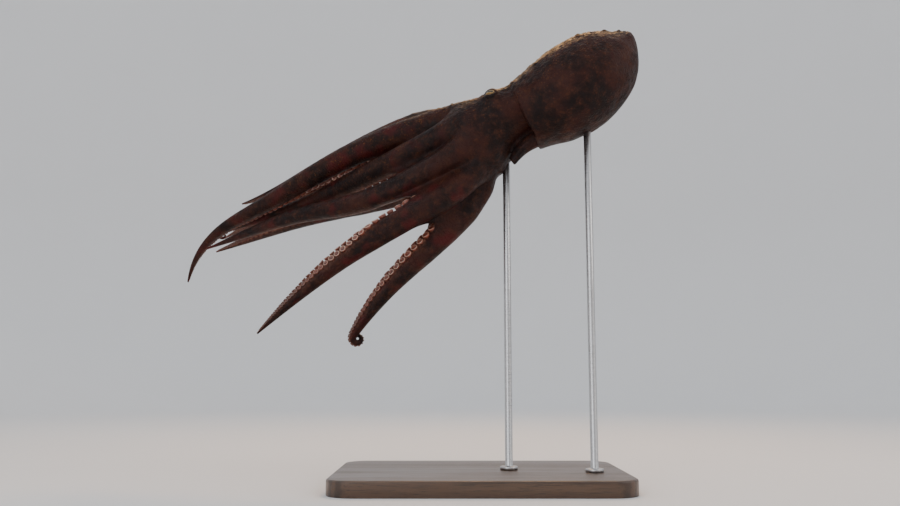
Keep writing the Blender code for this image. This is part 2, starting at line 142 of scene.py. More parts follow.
# a cubic through one column of a table against its first column, with its slopes from the neighbours
def tableCurve(table, column, x):
    xs, ys = np.array(table)[:, 0], np.array(table)[:, column]
    slope = np.gradient(ys, xs)
    x = np.clip(np.asarray(x, float), xs[0], xs[-1])
    i = np.clip(np.searchsorted(xs, x, side="right") - 1, 0, len(xs) - 2)
    h = xs[i + 1] - xs[i]
    t = (x - xs[i]) / h
    return (ys[i] * (1 + 2 * t) * (1 - t) ** 2 + h * slope[i] * t * (1 - t) ** 2
            + ys[i + 1] * t * t * (3 - 2 * t) - h * slope[i + 1] * t * t * (1 - t))


def heading(slope, swing):    # the direction that climbs by slope from +X and turns by swing towards +Y
    s, w = np.radians(slope), np.radians(swing)
    return np.stack([np.cos(s) * np.cos(w), np.sin(w) + 0 * s, np.sin(s) * np.cos(w)], -1)


def travel(start, heads, length):    # the points passed by moving along the headings in equal steps
    steps = unit(heads[1:] + heads[:-1]) * (length / (len(heads) - 1))
    return np.vstack([start, start + np.cumsum(steps, axis=0)])


def readRows(x, xs, rows):    # vectors read between rows at places x of any shape
    return np.stack([np.interp(x, xs, rows[:, k]) for k in range(3)], -1)


def bodyFrame(back):    # axis points, ways to the tail, dorsal and left vectors, at distances back
    f = np.linspace(0, 1, 201)
    heads = heading(smoothCurve(body["slopes"], f), body["swing"])
    points = travel(np.array(body["crown"]), heads, body["length"])
    at = np.asarray(back, float) / body["length"]
    p, t = readRows(at, f, points), unit(readRows(at, f, heads))
    up = unit(np.array([0, 0, 1.0]) - t[..., 2:3] * t)
    away = -np.cross(t, up)
    away = np.where(away[..., 1:2] < 0, -away, away)
    b = math.radians(body["bank"])
    return p, t, math.cos(b) * up + math.sin(b) * away, math.sin(b) * up - math.cos(b) * away


def headSizes(back):    # half width, top and under of the head
    return np.stack([tableCurve(body["head"], k, back) for k in (1, 2, 3)], -1)


def mantleSizes(back):    # the same of the mantle, each shrinking to its end as (1 - x^a)^(1/b)
    back = np.asarray(back, float)
    share = np.clip((back - body["widest"]) / (body["length"] - body["widest"]), 0, 1)
    return np.stack([tableCurve(body["mantle"], k, back) * (1 - share**a) ** (1 / b)
                     for k, (a, b) in zip((1, 2, 3), body["tail"])], -1)


def drawPoint(points):    # lifts the mantle's end by a gaussian of the distance from it
    height, spread = body["point"]
    near = np.linalg.norm(points - bodyFrame(body["length"])[0], axis=-1)
    return points + (height * np.exp(-((near / spread) ** 2) / 2))[..., None] * np.array([0, 0, 1.0])


def onBody(back, angle, sizes):    # points of an egg-shaped ring round the axis, two half ellipses
    p, _, dorsal, left = bodyFrame(back)
    c, s = np.cos(angle), np.sin(angle)
    high = np.where(c > 0, sizes[..., 1], sizes[..., 2]) * c
    return p + high[..., None] * dorsal + (sizes[..., 0] * s)[..., None] * left


# an arm's line: its heading turns as the slopes say, its frame is carried along untwisted and then twisted
def layArm(name):
    angle, length, slopes, swings, _, twist, curl, start = arms[name]
    p, t, dorsal, left = bodyFrame(0.0)
    a = math.radians(angle)
    out = math.cos(a) * dorsal + math.sin(a) * left
    f = np.linspace(0, 1, 241)
    bend = curl * np.clip((f - start) / (1 - start), 0, 1) ** 1.2
    heads = heading(smoothCurve(slopes, f) + bend, smoothCurve(swings, f))
    points = travel(p + armShape["ring"] * out, heads, length)
    facing = ease(f * length / armShape["rootBlend"])[:, None]
    along = unit((1 - facing) * -t + facing * heads)
    outs = np.empty_like(points)
    for k, way in enumerate(along):
        out = unit(out - np.dot(out, way) * way)
        outs[k] = out
    across = np.cross(along, outs)
    begin = armShape["twistStarts"].get(name, armShape["twistStart"])
    turn = np.radians(twist) * ease((f - begin) / armShape["twistOver"])[:, None]
    turned = np.cos(turn) * outs + np.sin(turn) * across
    return {"f": f, "length": length, "points": points, "outs": turned, "along": heads,
            "sides": -(np.cos(turn) * across - np.sin(turn) * outs)}


lines = {name: layArm(name) for name in arms}


def armFrame(name, s):    # middle, outward vector and vector to the next arm's side at distances s
    line = lines[name]
    x = np.clip(s / line["length"], 0, 1)
    return (readRows(x, line["f"], line["points"]), unit(readRows(x, line["f"], line["outs"])),
            unit(readRows(x, line["f"], line["sides"])))


def armHalves(name, s):    # half depth and half width: root size times (1 - f^fullness), plus the tip's
    f = np.clip(s / arms[name][1], 0, 1)
    rest = 1 - f ** arms[name][4]
    return armShape["depth"] * rest + armShape["tip"], armShape["width"] * rest + armShape["tip"]


def webEnd(name):    # how far the web after an arm reaches
    return web["shorter"].get(name, web["reach"])


def layWebSeats():    # the angle from each arm's back that faces each neighbour, smoothed along the arm
    s = np.linspace(0, 0.15, 151)
    seats = {name: {} for name in arms}
    for here, there in nextArm.items():
        spots = {name: armFrame(name, s) for name in (here, there)}
        for me, other, turn, word in ((here, there, 1, "next"), (there, here, -1, "prev")):
            c, o, l = spots[me]
            way = spots[other][0] - c
            angle = np.arctan2(turn * np.sum(way * l, -1), np.sum(way * o, -1))
            angle = np.clip(np.where(angle < -math.pi / 2, math.pi, angle), *np.radians(web["seat"]))
            angle = np.convolve(np.pad(angle, 8, mode="edge"), np.ones(17) / 17, "valid")
            seats[me][word] = np.interp(np.minimum(s, webEnd(here)), s, angle)
    return s, seats


seatPlaces, webSeats = layWebSeats()


def seatAngle(name, word, s):    # read between the places of that table
    return np.interp(s, seatPlaces, webSeats[name][word])


def filletAngle(name, s):    # half the angle of arm that the web's root takes
    return np.minimum((web["thick"] / 2 + web["fillet"]) / armHalves(name, s)[1], 0.35)


# the arm's back from web to web: an arc of the head's ring at the root, then half an ellipse
def onArmBack(name, s, u):
    deep, wide = armHalves(name, s)
    seat = np.where(u > 0, seatAngle(name, "next", s), seatAngle(name, "prev", s)) - filletAngle(name, s)
    c, o, l = armFrame(name, s)
    b = ease(s / armShape["rootBlend"])
    radius = body["head"][0][1]
    high = lerp(radius * np.cos(u * rootSpread) - armShape["ring"], deep * np.cos(u * seat), b)
    side = lerp(radius * np.sin(u * rootSpread), wide * np.sin(u * seat), b)
    return c + high[..., None] * o + side[..., None] * l


# its sucker side: an arc round the mouth at the root, then a flattened ellipse with a groove
def onArmFront(name, s, v):
    deep, wide = armHalves(name, s)
    seat = np.where(v > 0, seatAngle(name, "next", s), seatAngle(name, "prev", s)) + filletAngle(name, s)
    c, o, l = armFrame(name, s)
    b = ease(s / armShape["rootBlend"])
    radius = armShape["mouth"]
    angle = math.pi - np.abs(v) * (math.pi - seat)
    hollow, across = armShape["groove"]
    flat = armShape["flat"] - hollow * np.exp(-((v / across) ** 2))
    belly = np.where(np.cos(angle) < 0, flat + (1 - flat) * (1 - np.cos(angle) ** 2), 1)
    high = lerp(radius * np.cos(v * rootSpread) - armShape["ring"], deep * np.cos(angle) * belly, b)
    side = lerp(radius * np.sin(v * rootSpread), wide * np.sin(angle) * np.sign(v), b)
    return c + high[..., None] * o + side[..., None] * l


def onArmFlank(name, s, word):    # the strip between back and front, past the web
    deep, wide = armHalves(name, s)
    a = seatAngle(name, word, s)
    c, o, l = armFrame(name, s)
    side = wide * np.sin(a) * (1 if word == "next" else -1)
    return c + (deep * np.cos(a))[..., None] * o + side[..., None] * l


# soft noise for the skin's relief; its random numbers are the fractions of large sines of the lattice points
latticeMix = np.array([(127.1, 311.7, 74.7), (269.5, 183.3, 246.1), (113.5, 271.9, 124.6)])


def latticeShare(k, seed, row=0):    # from 0 to 1
    h = np.sin(k @ latticeMix[row] + seed) * 43758.5453
    return h - np.floor(h)


def softNoise(p, size, seed):    # random heights on a cubic lattice, eased between its eight corners
    q = p / size + 37.1 * seed
    i = np.floor(q)
    t = ease(q - i)
    total = 0
    for corner in np.ndindex(2, 2, 2):
        total = total + np.prod(np.where(corner, t, 1 - t), axis=-1) * latticeShare(i + corner, seed)
    return total * 2 - 1


# distance to the nearest of jittered lattice points, in cells, and that point's own number
def cellBumps(p, size, seed):
    q = p / size + 11.3 * seed
    i = np.floor(q)
    best, own = np.full(len(p), 9.0), np.zeros(len(p))
    for step in np.ndindex(3, 3, 3):
        k = i + np.array(step) - 1
        jitter = np.stack([latticeShare(k, seed, row) for row in range(3)], -1)
        d = np.linalg.norm(k + 0.15 + 0.7 * jitter - q, axis=-1)
        own = np.where(d < best, jitter[:, 0], own)
        best = np.minimum(best, d)
    return best, own


# tables of points made into meshes

def gridFaces(index, closed=True, flip=False):    # quads between the rows of a table of vertex numbers
    a = index if not closed else np.concatenate([index, index[:, :1]], 1)
    quads = np.stack([a[:-1, :-1], a[1:, :-1], a[1:, 1:], a[:-1, 1:]], -1).reshape(-1, 4)
    return quads[:, ::-1] if flip else quads


def fanFaces(pole, ring, flip=False):    # triangles from one vertex to a closed ring
    tris = np.stack([np.full(len(ring), pole), ring, np.roll(ring, -1)], -1)
    return tris[:, ::-1] if flip else tris


def cappedGrid(points, first, last, flip=False):    # closed rings in rows, with a fan to a pole at each end
    index = np.arange(points[..., 0].size).reshape(points.shape[:2])
    faces = [gridFaces(index, flip=flip), fanFaces(index.size, index[0], flip),
             fanFaces(index.size + 1, index[-1], not flip)]
    return np.concatenate([points.reshape(-1, 3), [first, last]]), faces


def joinTables(tables):    # the points and faces of several meshes as those of one
    points, faces = np.zeros((0, 3)), []
    for more, moreFaces in tables:
        faces += [part + len(points) for part in moreFaces]
        points = np.concatenate([points, more])
    return points, faces


def addMesh(name, points, faces, attributes=None, uv=None):    # smooth, with values or a UV of its points
    mesh = bpy.data.meshes.new(name)
    mesh.from_pydata(points.tolist(), [], [face.tolist() for part in faces for face in part])
    mesh.shade_smooth()
    for word, values in (attributes or {}).items():
        mesh.attributes.new(word, "FLOAT", "POINT").data.foreach_set("value", values.astype(np.float32))
    if uv is not None:
        layer = mesh.uv_layers.new(name="Surface")
        corner = np.empty(len(mesh.loops), np.int32)
        mesh.loops.foreach_get("vertex_index", corner)
        layer.data.foreach_set("uv", uv[corner].astype(np.float32).ravel())
    piece = bpy.data.objects.new(name, mesh)
    bpy.context.scene.collection.objects.link(piece)
    return piece


def vertexNormals(points, faces):    # the sum of the faces' normals round each vertex
    total = np.zeros_like(points)
    for part in faces:
        c = points[part]
        n = np.cross(c[:, 2] - c[:, 0], c[:, -1] - c[:, 1])
        for k in range(3):
            total[:, k] += np.bincount(part.ravel(), np.repeat(n[:, k], part.shape[1]), len(points))
    return unit(total)


def soften(points, faces, weight, rounds):    # moves each point half way to its neighbours' middle, by weight
    ends = np.concatenate([np.stack([part, np.roll(part, -1, 1)], -1).reshape(-1, 2) for part in faces])
    ends = np.concatenate([ends, ends[:, ::-1]])
    count = np.bincount(ends[:, 0], minlength=len(points))[:, None]
    for _ in range(rounds):
        middle = np.stack([np.bincount(ends[:, 0], points[ends[:, 1], k], len(points)) for k in range(3)], -1)
        points = points + 0.5 * weight[:, None] * (middle / count - points)
    return points


# the skin is one sheet from the mantle's end over head, arms and webs and back in to the mouth
skin = {
    "armBack": 18,      # steps across an arm's back, web to web
    "armFront": 12,     # and across its sucker side
    "web": 6,           # steps across a web
    "webRows": 60,      # rows from the crown to the webs' free edge
    "armRows": 112,     # rows from there to the arms' ends
    "headRows": 36,
    "mantleRows": 92,
    "floorRows": (0.2, 0.85, 5),    # the rows of the mouth's floor: shares of its radius, and how many
    "evenBy": 0.045,    # this far back the columns are spread evenly round the body
    "crownSoft": 0.012,    # the body's rings are softened back to here
    "rootSoft": (0.030, 0.045),    # the arms' roots are softened this far, and the softening fades over this
    "seamSoft": 0.72,   # beyond this share of an arm's half breadth it is softened into the web
    "rounds": 14,       # of softening
}
relief = {    # heights, and the sizes of what they lift
    "fold": (0.00055, 0.019, 0.008),      # broad folds in two sizes
    "grain": (0.00115, 0.0052),           # granules on the back
    "wart": (0.0031, 0.017),              # scattered papillae
    "wrinkle": (0.00022, 900, 0.012),     # rings round the arms: their height, number and wander
    "neckFold": (0.0008, 0.0052, 0.010),  # folds behind the eyes: their height, distance apart and reach
}
mantleEdge = {
    "opening": (74, 42),      # the angle from the back where its free part starts, and over which it opens
    "wave": (0.0011, 0.009),  # how far the edge wanders, and how far from it the skin still follows
    "thick": 0.0019,
    "headSide": 4,            # rows of the pocket that belong to the head
    # the pocket rows out of the light: their back mark is cleared, which leaves them dark as painted shade
    "shadedPocket": (2, 10),        # its rows that lie out of the light
    "pocket": (               # behind the neck, on head 0 or mantle 1, offset, less shares of thickness
        (-0.0015, 0, 0, 0), (0.0010, 0, -0.0008, 0), (0.0045, 0, -0.0018, 0), (0.0080, 0, -0.0024, 0),
        (0.0090, 1, -0.0024, 1), (0.0075, 1, -0.0008, 1), (0.0040, 1, 0, 1), (0.0010, 1, 0, 1),
        (-0.0006, 1, 0, 0.85), (-0.0013, 1, 0, 0.5), (-0.0008, 1, 0, 0.15), (0.0008, 1, 0.0002, 0),
        (0.0025, 1, 0.0002, 0)),
}
eyes = {
    "back": 0.040,      # from the crown
    "angle": 60,        # from the top of the head
    "radius": 0.0095,
    "bulge": 0.045,     # of its clear front, as a share of the radius
    "mound": 0.0075,
    "spread": 0.0125,
    "proud": 0.0022,
    "socket": (0.0078, 0.0008, 0.0012),    # radius of the socket, width of its edge, room behind the ball
}
lids = {
    "thick": 0.0011,
    "open": (0.0066, 0.0041),    # half length and half height of the opening
    "brow": (0.86, 1.10),        # shares of that height above and below the middle
    "fold": (0.00022, 19),       # height and number of their creases
    "reach": 74,                 # degrees of the ball that they cover
    "clear": 1.02,               # their place on the ball, as a share of its radius
    "hem": 0.0016,               # how far the outer edge dips under the mound
    "lining": 0.0018,            # how far inside the ball they turn back
}
funnel = {
    "line": (            # back from the crown, its middle below the body's axis, radius
        (0.0285, 0.0462, 0.0060), (0.0360, 0.0420, 0.0070), (0.0450, 0.0380, 0.0084),
        (0.0550, 0.0356, 0.0096), (0.0655, 0.0350, 0.0104)),
    "root": 0.075,       # it starts this far back, inside the mantle's pocket
    "waist": (0.0016, 0.0655, 0.008),     # how much narrower it is in there, from where and over what length
    "flat": 0.94,        # height as a share of width
    "lip": (             # in and ahead of the rim
        (-0.0003, 0.0010), (-0.0008, 0.0017), (-0.0014, 0.0021), (-0.0020, 0.0020), (-0.0025, 0.0013),
        (-0.0027, 0.0000), (-0.0028, -0.0025), (-0.0031, -0.0065), (-0.0037, -0.0110)),
    "slant": (0.0013, 0.045, 0.015, 0.008),    # its under side reaches further: most, from, over, fade inside
    "crease": (0.00030, 11),              # height and number
    "keel": (0.0285, 0.0050, 0.0024, 0.0060),    # the head's skin joins it: from, over, half width, fade
}


# the middle of an eye's swelling, the way it looks, and the eyeball's middle; side is 1 on the left
def eyePlace(side):
    p, _, dorsal, left = bodyFrame(eyes["back"])
    a = math.radians(eyes["angle"])
    out = math.cos(a) * dorsal + side * math.sin(a) * left
    wide, high, _ = headSizes(eyes["back"])
    spot = p + out * math.hypot(high * math.cos(a), wide * math.sin(a))
    return spot, out, spot + out * (eyes["mound"] + eyes["proud"] - eyes["radius"])


def eyeAxes(side):    # the eyeball's middle, the way it looks, its level axis and its upright axis
    _, out, centre = eyePlace(side)
    level = unit(np.cross([0, 0, 1.0], out))
    return centre, out, level, np.cross(out, level)


def swellEyes(points):    # a gaussian mound under each eye, pressed in behind the eyeball where the lids open
    wide, edge, room = eyes["socket"]
    for side in (1, -1):
        spot, out, centre = eyePlace(side)
        near = np.linalg.norm(points - spot, axis=-1)
        moved = points + (eyes["mound"] * np.exp(-((near / eyes["spread"]) ** 2) / 2))[..., None] * out
        fromBall = moved - centre
        rise = fromBall @ out
        flat = np.linalg.norm(fromBall - rise[..., None] * out, axis=-1)
        ceiling = np.sqrt(np.maximum((eyes["radius"] - room) ** 2 - flat**2, 0))
        sink = np.where(rise > 0, np.maximum(rise - ceiling, 0) * (1 - ease((flat - wide) / edge)), 0)
        points = moved - sink[..., None] * out
    return points


# places and sizes of the rings from the crown to the mantle's end: first where the mantle's edge is shut, and
# then where it is free and the sheet runs into a pocket, turns and comes out along the edge's inner side
def bodyRows():
    neck, widest, length = body["neck"], body["widest"], body["length"]
    headBack = np.linspace(0.0018, neck - 0.003, skin["headRows"])
    tailBack = np.concatenate([np.linspace(neck + 0.0045, widest, 300)[:-1],
                               widest + (length - widest) * np.sin(np.linspace(0, math.pi / 2, 400))])
    wide = mantleSizes(tailBack)[:, 0]
    run = np.cumsum(np.hypot(np.diff(tailBack, prepend=tailBack[0]), np.diff(wide, prepend=wide[0])))
    mantleBack = np.interp(np.linspace(0, run[-1], skin["mantleRows"] + 1)[:-1], run, tailBack)
    behind, onMantle, offset, share = np.array(mantleEdge["pocket"]).T
    freeBack = neck + behind
    freeSizes = lerp(headSizes(freeBack), mantleSizes(freeBack), onMantle[:, None])
    freeSizes = freeSizes + (offset - share * mantleEdge["thick"])[:, None]
    shutBack = np.linspace(freeBack[0], freeBack[-1], len(behind))
    part = ease((shutBack - shutBack[0]) / np.ptp(shutBack))[:, None]
    shutSizes = lerp(headSizes(shutBack), mantleSizes(shutBack), part)
    backs = [np.concatenate([headBack, b, mantleBack]) for b in (shutBack, freeBack)]
    sizes = [np.concatenate([headSizes(headBack), size, mantleSizes(mantleBack)])
             for size in (shutSizes, freeSizes)]
    return backs, sizes


# the angle round the body of each column: crowded at the webs on the crown, even further back
def backAngles():
    steps, gap = skin["armBack"], skin["web"]
    u = np.arange(steps + 1) / steps * 2 - 1
    v = np.arange(1, gap) / gap
    crowded = np.concatenate([u * rootSpread, lerp(rootSpread, math.pi / 4 - rootSpread, v)])
    even = (np.arange(steps + gap) - steps / 2) * 2 * math.pi / (8 * (steps + gap))
    roots = np.radians([arms[name][0] for name in arms])[:, None]
    return (roots + crowded).ravel(), (roots + even).ravel()


def keelDrop(back, angle, size):    # how far the skin hangs from the head's underside to meet the funnel
    start, over, half, fade = funnel["keel"]
    below, radius = (tableCurve(funnel["line"], k, back) for k in (1, 2))
    side = np.abs(size[..., 0] * np.sin(angle))
    share = ease((back - start) / over) * (1 - ease((side - half) / fade)) * (np.cos(angle) < 0)
    return np.maximum(below - 0.5 * radius - size[..., 2], 0) * share


sheet = {"points": [], "marks": []}    # the skin as it grows


# adds a table of points to the sheet and returns the table of their numbers; the marks say how far a point is
# on the back, on the sucker side and along its arm, and how much it is softened
def put(points, dorsal=0, oral=0, along=0, loose=0):
    start, shape = sum(map(len, sheet["points"])), points.shape[:-1]
    sheet["points"].append(points.reshape(-1, 3))
    marks = [np.broadcast_to(mark, shape).ravel() for mark in (dorsal, oral, along, loose)]
    sheet["marks"].append(np.stack(marks, -1))
    return start + np.arange(np.prod(shape)).reshape(shape)


def shares(word):    # from 0 to 1 in the skin's steps
    return np.arange(skin[word] + 1) / skin[word]


# how much of the back's ochre an arm gets, so that arms on top are lighter: partly painted light from above
def topShare(name):    # 1 for an arm on top of the crown, 0 for one below it
    return (1 + math.cos(math.radians(arms[name][0]))) / 2


# from the crown to the webs' free edge: the arms' backs and outer webs, and their fronts and inner webs
def coverRoots():
    down, w = np.linspace(0, 1, skin["webRows"] + 1)[:, None], shares("web")[1:-1]
    outside, inside = [], []
    start, over = skin["rootSoft"]
    for here, there in nextArm.items():
        first, last, top = webEnd(lastArm[here]), webEnd(here), topShare(here)
        scoop = 1 - web["dip"] * np.sin(math.pi * w) * down**1.5
        for onArm, word, rows, isBack in ((onArmBack, "armBack", outside, 1),
                                          (onArmFront, "armFront", inside, 0)):
            side = shares(word) * 2 - 1
            s = down * lerp(first, last, shares(word))
            seam = ease((np.abs(side) - skin["seamSoft"]) / (1 - skin["seamSoft"]))
            rows.append(put(onArm(here, s, side), isBack * top * (1 - 0.5 * side**2),
                            (1 - isBack) * lerp(1, 0.55, np.abs(side) ** 4), s / arms[here][1],
                            np.maximum(1 - ease((s - start) / over), seam)))
            s = down * last * scoop
            points = lerp(onArm(here, s, np.ones_like(s)), onArm(there, s, -np.ones_like(s)), w[:, None])
            rows.append(put(points, isBack * top * 0.5, lerp(0.75, 0.12, isBack), s / 0.4, 1))
    return np.concatenate(outside, 1), np.concatenate(inside, 1)


# the body's rings, blended round from shut to free, with the eyes' mounds, the mantle's point and the keel
def coverBody():
    backs, sizes = bodyRows()
    crowded, even = backAngles()
    angle = lerp(crowded, even, ease(backs[0] / skin["evenBy"])[:, None])
    turn = np.abs((angle + math.pi) % (2 * math.pi) - math.pi)
    start, over = np.radians(mantleEdge["opening"])
    opening = ease((turn - start) / over)
    wander = np.sin(3 * angle[-1] + 0.6) + 0.6 * np.sin(7 * angle[-1] + 2.0) + 0.35 * np.sin(13 * angle[-1])
    height, reach = mantleEdge["wave"]
    nearEdge = np.exp(-(((backs[0] - body["neck"]) / reach) ** 2))[:, None]
    back = lerp(backs[0][:, None], backs[1][:, None], opening)
    back = back + height * wander * nearEdge * (0.3 + 0.7 * opening)
    size = lerp(sizes[0][:, None], sizes[1][:, None], opening[..., None])
    row = np.arange(len(back))[:, None] - skin["headRows"]
    drop = keelDrop(back, angle, size) * (row < mantleEdge["headSide"])
    points = drawPoint(swellEyes(onBody(back, angle, size))) - drop[..., None] * bodyFrame(back)[2]
    first, last = mantleEdge["shadedPocket"]
    # the pocket rows out of the light lose the back mark and its ochre: painted shade
    shadedPocket = (row >= first) & (row < last) & (opening > 0.2)
    # the back mark brings the ochre granules and flecks: partly the skin's own, partly painted light from
    # above
    top = (1 + np.cos(turn)) / 2 * (1 - 0.999 * shadedPocket)
    return put(points, top, loose=1 - ease(backs[0] / skin["crownSoft"])[:, None])


# each web's free edge is one row between its two sides, pushed out by a share of its thickness
def closeWebs(outside, inside):
    points = np.concatenate(sheet["points"])
    nBack, nFront, nWeb = skin["armBack"], skin["armFront"], skin["web"]
    edge, faces = {}, []
    for k, (here, there) in enumerate(nextArm.items()):
        above, out = (np.roll(row, -k * (nBack + nWeb))[nBack:nBack + nWeb + 1] for row in outside)
        into = np.roll(inside, -k * (nFront + nWeb))[nFront:nFront + nWeb + 1]
        middle = (points[out] + points[into]) / 2
        middle[1:-1] += unit(points[out] - points[above])[1:-1] * web["thick"] * 0.4
        for end, name, word in ((0, here, "next"), (-1, there, "prev")):
            middle[end] = onArmFlank(name, np.array([webEnd(here)]), word)[0]
        rim = put(middle, dorsal=0.2, oral=0.4, along=0.3, loose=1)
        edge[here, "next"], edge[there, "prev"] = rim[0], rim[-1]
        faces.append(gridFaces(np.stack([out, rim, into]), closed=False))
    return edge, faces


# past the webs each arm is a tube of back, flank, front and flank, with rows that crowd a little to its end
def coverArms(outside, inside, edge):
    grow = 1 - (1 - np.linspace(0, 1, skin["armRows"] + 1)[1:, None]) ** 1.18
    grow[-1] = 0.9985
    u, v = shares("armBack"), shares("armFront")
    soft = np.concatenate([np.abs(u * 2 - 1) ** 4, [1], np.abs(v * 2 - 1) ** 4, [1]])
    soft = soft * (1 - ease(grow / 0.12)) * 0.8
    faces = []
    for k, here in enumerate(armNames):
        before, length = lastArm[here], arms[here][1]
        back = np.roll(outside, -k * (len(u) - 1 + skin["web"]))[:len(u)]
        front = np.roll(inside, -k * (len(v) - 1 + skin["web"]))[:len(v)]
        first = np.concatenate([back, [edge[here, "next"]], front[::-1], [edge[here, "prev"]]])
        strips = []    # points, how far on the back and on the sucker side, and distance down the arm
        for steps, onArm, oral, word, webStop in ((u, onArmBack, 0.0, "next", webEnd(here)),
                                                  (v[::-1], onArmFront, 1.0, "prev", webEnd(before))):
            side, start = steps * 2 - 1, lerp(webEnd(before), webEnd(here), steps)
            s = start + (length - start) * grow
            strips.append((onArm(here, s, side), topShare(here) * (1 - oral) * (1 - 0.5 * side**2),
                           lerp(oral, 0.35 + 0.2 * oral, np.abs(side) ** 4), s))
            s = webStop + (length - webStop) * grow
            strips.append((onArmFlank(here, s, word), 0.1, 0.45, s))
        points, s = (np.concatenate([strip[j] for strip in strips], 1) for j in (0, 3))
        dorsal, oral = (np.concatenate([np.broadcast_to(strip[j], strip[3].shape) for strip in strips], 1)
                        for j in (1, 2))
        tube = put(points, dorsal, oral, s / length, soft)
        line = lines[here]
        end = put(line["points"][-1:] + line["along"][-1:] * 0.0004, dorsal=0.3, oral=0.5, along=1)
        faces += [gridFaces(np.concatenate([first[None], tube])), fanFaces(end[0], tube[-1], flip=True)]
    return faces


def makeSkinGrid():    # body, arms and webs sewn to one sheet, with a flat floor under the mouth
    outside, inside = coverRoots()
    outside = np.concatenate([coverBody()[::-1], outside])
    last = onBody(np.array([body["length"] - 0.0001]), np.zeros(1), np.zeros((1, 3)))
    tail = put(drawPoint(last), dorsal=0.8)
    p = bodyFrame(0.0)[0]
    steps = np.linspace(*skin["floorRows"])[:, None, None]
    floor = lerp(p, np.concatenate(sheet["points"])[inside[0]], steps)
    inside = np.concatenate([put(floor, oral=1), inside])
    middle = put(p[None], oral=1)
    edge, webFaces = closeWebs(outside[-2:], inside[-1])
    faces = [gridFaces(outside), fanFaces(tail[0], outside[0]), gridFaces(inside, flip=True),
             fanFaces(middle[0], inside[0], flip=True), *webFaces, *coverArms(outside[-1], inside[-1], edge)]
    return np.concatenate(sheet["points"]), faces, np.concatenate(sheet["marks"])


def makeFunnel():    # a tapering tube along its line, turned in at its end as a rounded lip and a bore
    back = np.linspace(funnel["root"], funnel["line"][0][0], 30)
    below, radius = (tableCurve(funnel["line"], k, back) for k in (1, 2))
    narrower, start, over = funnel["waist"]
    radius = radius - narrower * ease((back - start) / over)
    p, _, dorsal, _ = bodyFrame(back)
    centre = p - dorsal * below[:, None]
    along = unit(np.gradient(centre, axis=0))
    out = unit(dorsal - np.sum(dorsal * along, -1, keepdims=True) * along)
    across = np.cross(out, along)
    inward, ahead = np.array(funnel["lip"]).T
    reach, start, over, fade = funnel["slant"]
    slant = reach * ease(np.concatenate([(start - back) / over, 1 + np.clip(ahead / fade, -1, 0)]))
    centre = np.concatenate([centre, centre[-1] + ahead[:, None] * along[-1]])
    radius = np.concatenate([radius, radius[-1] + inward])
    out, across, along = (np.concatenate([v, np.repeat(v[-1:], len(ahead), 0)]) for v in (out, across, along))
    a = roundSteps(40)
    height, count = funnel["crease"]
    crease = height * np.cos(count * a + 1.5 * np.sin(2 * a)) * ease(np.arange(len(radius)) / 12)[:, None]
    ring = np.cos(a)[:, None] * out[:, None] * funnel["flat"] + np.sin(a)[:, None] * across[:, None]
    points = centre[:, None] + (radius[:, None] + crease)[..., None] * ring
    points = points - (slant[:, None] * np.cos(a))[..., None] * along[:, None]
    return cappedGrid(points, centre[0], centre[-1])


# a ring over the eyeball: from the opening's edge it swells, folds, dips under the mound and turns back in
def makeLids(side):
    centre, out, level, upright = eyeAxes(side)
    a = roundSteps(72)
    long, tall = lids["open"]
    upper, lower = lids["brow"]
    x, y = long * np.cos(a), tall * np.sin(a) * np.where(np.sin(a) > 0, upper, lower)
    start, away = np.arcsin(np.hypot(x, y) / eyes["radius"]), np.arctan2(y, x)
    q, under = np.linspace(0, 1, 22)[:, None], np.linspace(1, 0, 5)[:, None]
    height, count = lids["fold"]
    folds = height * np.sin(q * count) * (1 - q) * (1 + 0.4 * np.sin(5 * a))
    swell = lids["thick"] * (ease(q / 0.16) * 0.75 + 0.25 * np.sin(math.pi * np.clip(q * 1.3, 0, 1)))
    rise = folds + swell - lids["hem"] * ease((q - 0.8) / 0.2)
    reach = math.radians(lids["reach"])
    tilt = np.concatenate([lerp(start, reach, q), lerp(start + 0.06, reach - math.radians(2), under)])
    radius = eyes["radius"] * lids["clear"] + np.concatenate([rise, 0 * a - lids["lining"] + 0 * under])
    ring = np.cos(away)[:, None] * level + np.sin(away)[:, None] * upright
    points = centre + radius[..., None] * (np.cos(tilt)[..., None] * out + np.sin(tilt)[..., None] * ring)
    index = np.arange(radius.size).reshape(radius.shape)
    return points.reshape(-1, 3), [gridFaces(np.concatenate([index, index[:1]]))]


# moves the skin along its normals: folds, granules and papillae on the back, rings round the arms, and cosine
# waves behind the eyes
def roughen(points, faces, dorsal, oral, along):
    calm = np.clip(1 - along * 1.15, 0.05, 1)
    back = np.clip(dorsal * 1.3 - 0.15, 0, 1) * np.clip(1 - along * 1.6, 0, 1)
    height, large, small = relief["fold"]
    folds = softNoise(points, large, 1) + 0.5 * softNoise(points, small, 2)
    lift = height * folds * calm * (1 - 0.7 * oral)
    height, size = relief["grain"]
    d, own = cellBumps(points, size, 3)
    lift += height * (np.clip(1 - (d / 0.62) ** 2, 0, 1) * (0.35 + 0.65 * own) - 0.2) * back
    height, size = relief["wart"]
    d, own = cellBumps(points, size, 5)
    lift += height * np.exp(-((d / 0.17) ** 2)) * (own > 0.35) * (0.5 + own / 2) * back * (along < 0.25)
    height, count, wander = relief["wrinkle"]
    rings = np.sin(along * count + 2.2 * softNoise(points, wander, 4)) * (along > 0)
    lift += height * rings * calm * (0.4 + 0.6 * oral)
    height, apart, reach = relief["neckFold"]
    neck, ahead, _, left = bodyFrame(body["neck"] - 0.004)
    away = points - neck
    phase = (away @ (left + 0.35 * ahead)) * 2 * math.pi / apart + 1.6 * softNoise(points, 0.009, 6)
    lift += height * np.cos(phase) * np.exp(-((away @ ahead / reach) ** 2)) * dorsal
    shadedPocket = (dorsal < 0.002) & (oral == 0)
    return points + vertexNormals(points, faces) * (lift * (1 - 0.6 * shadedPocket))[:, None]


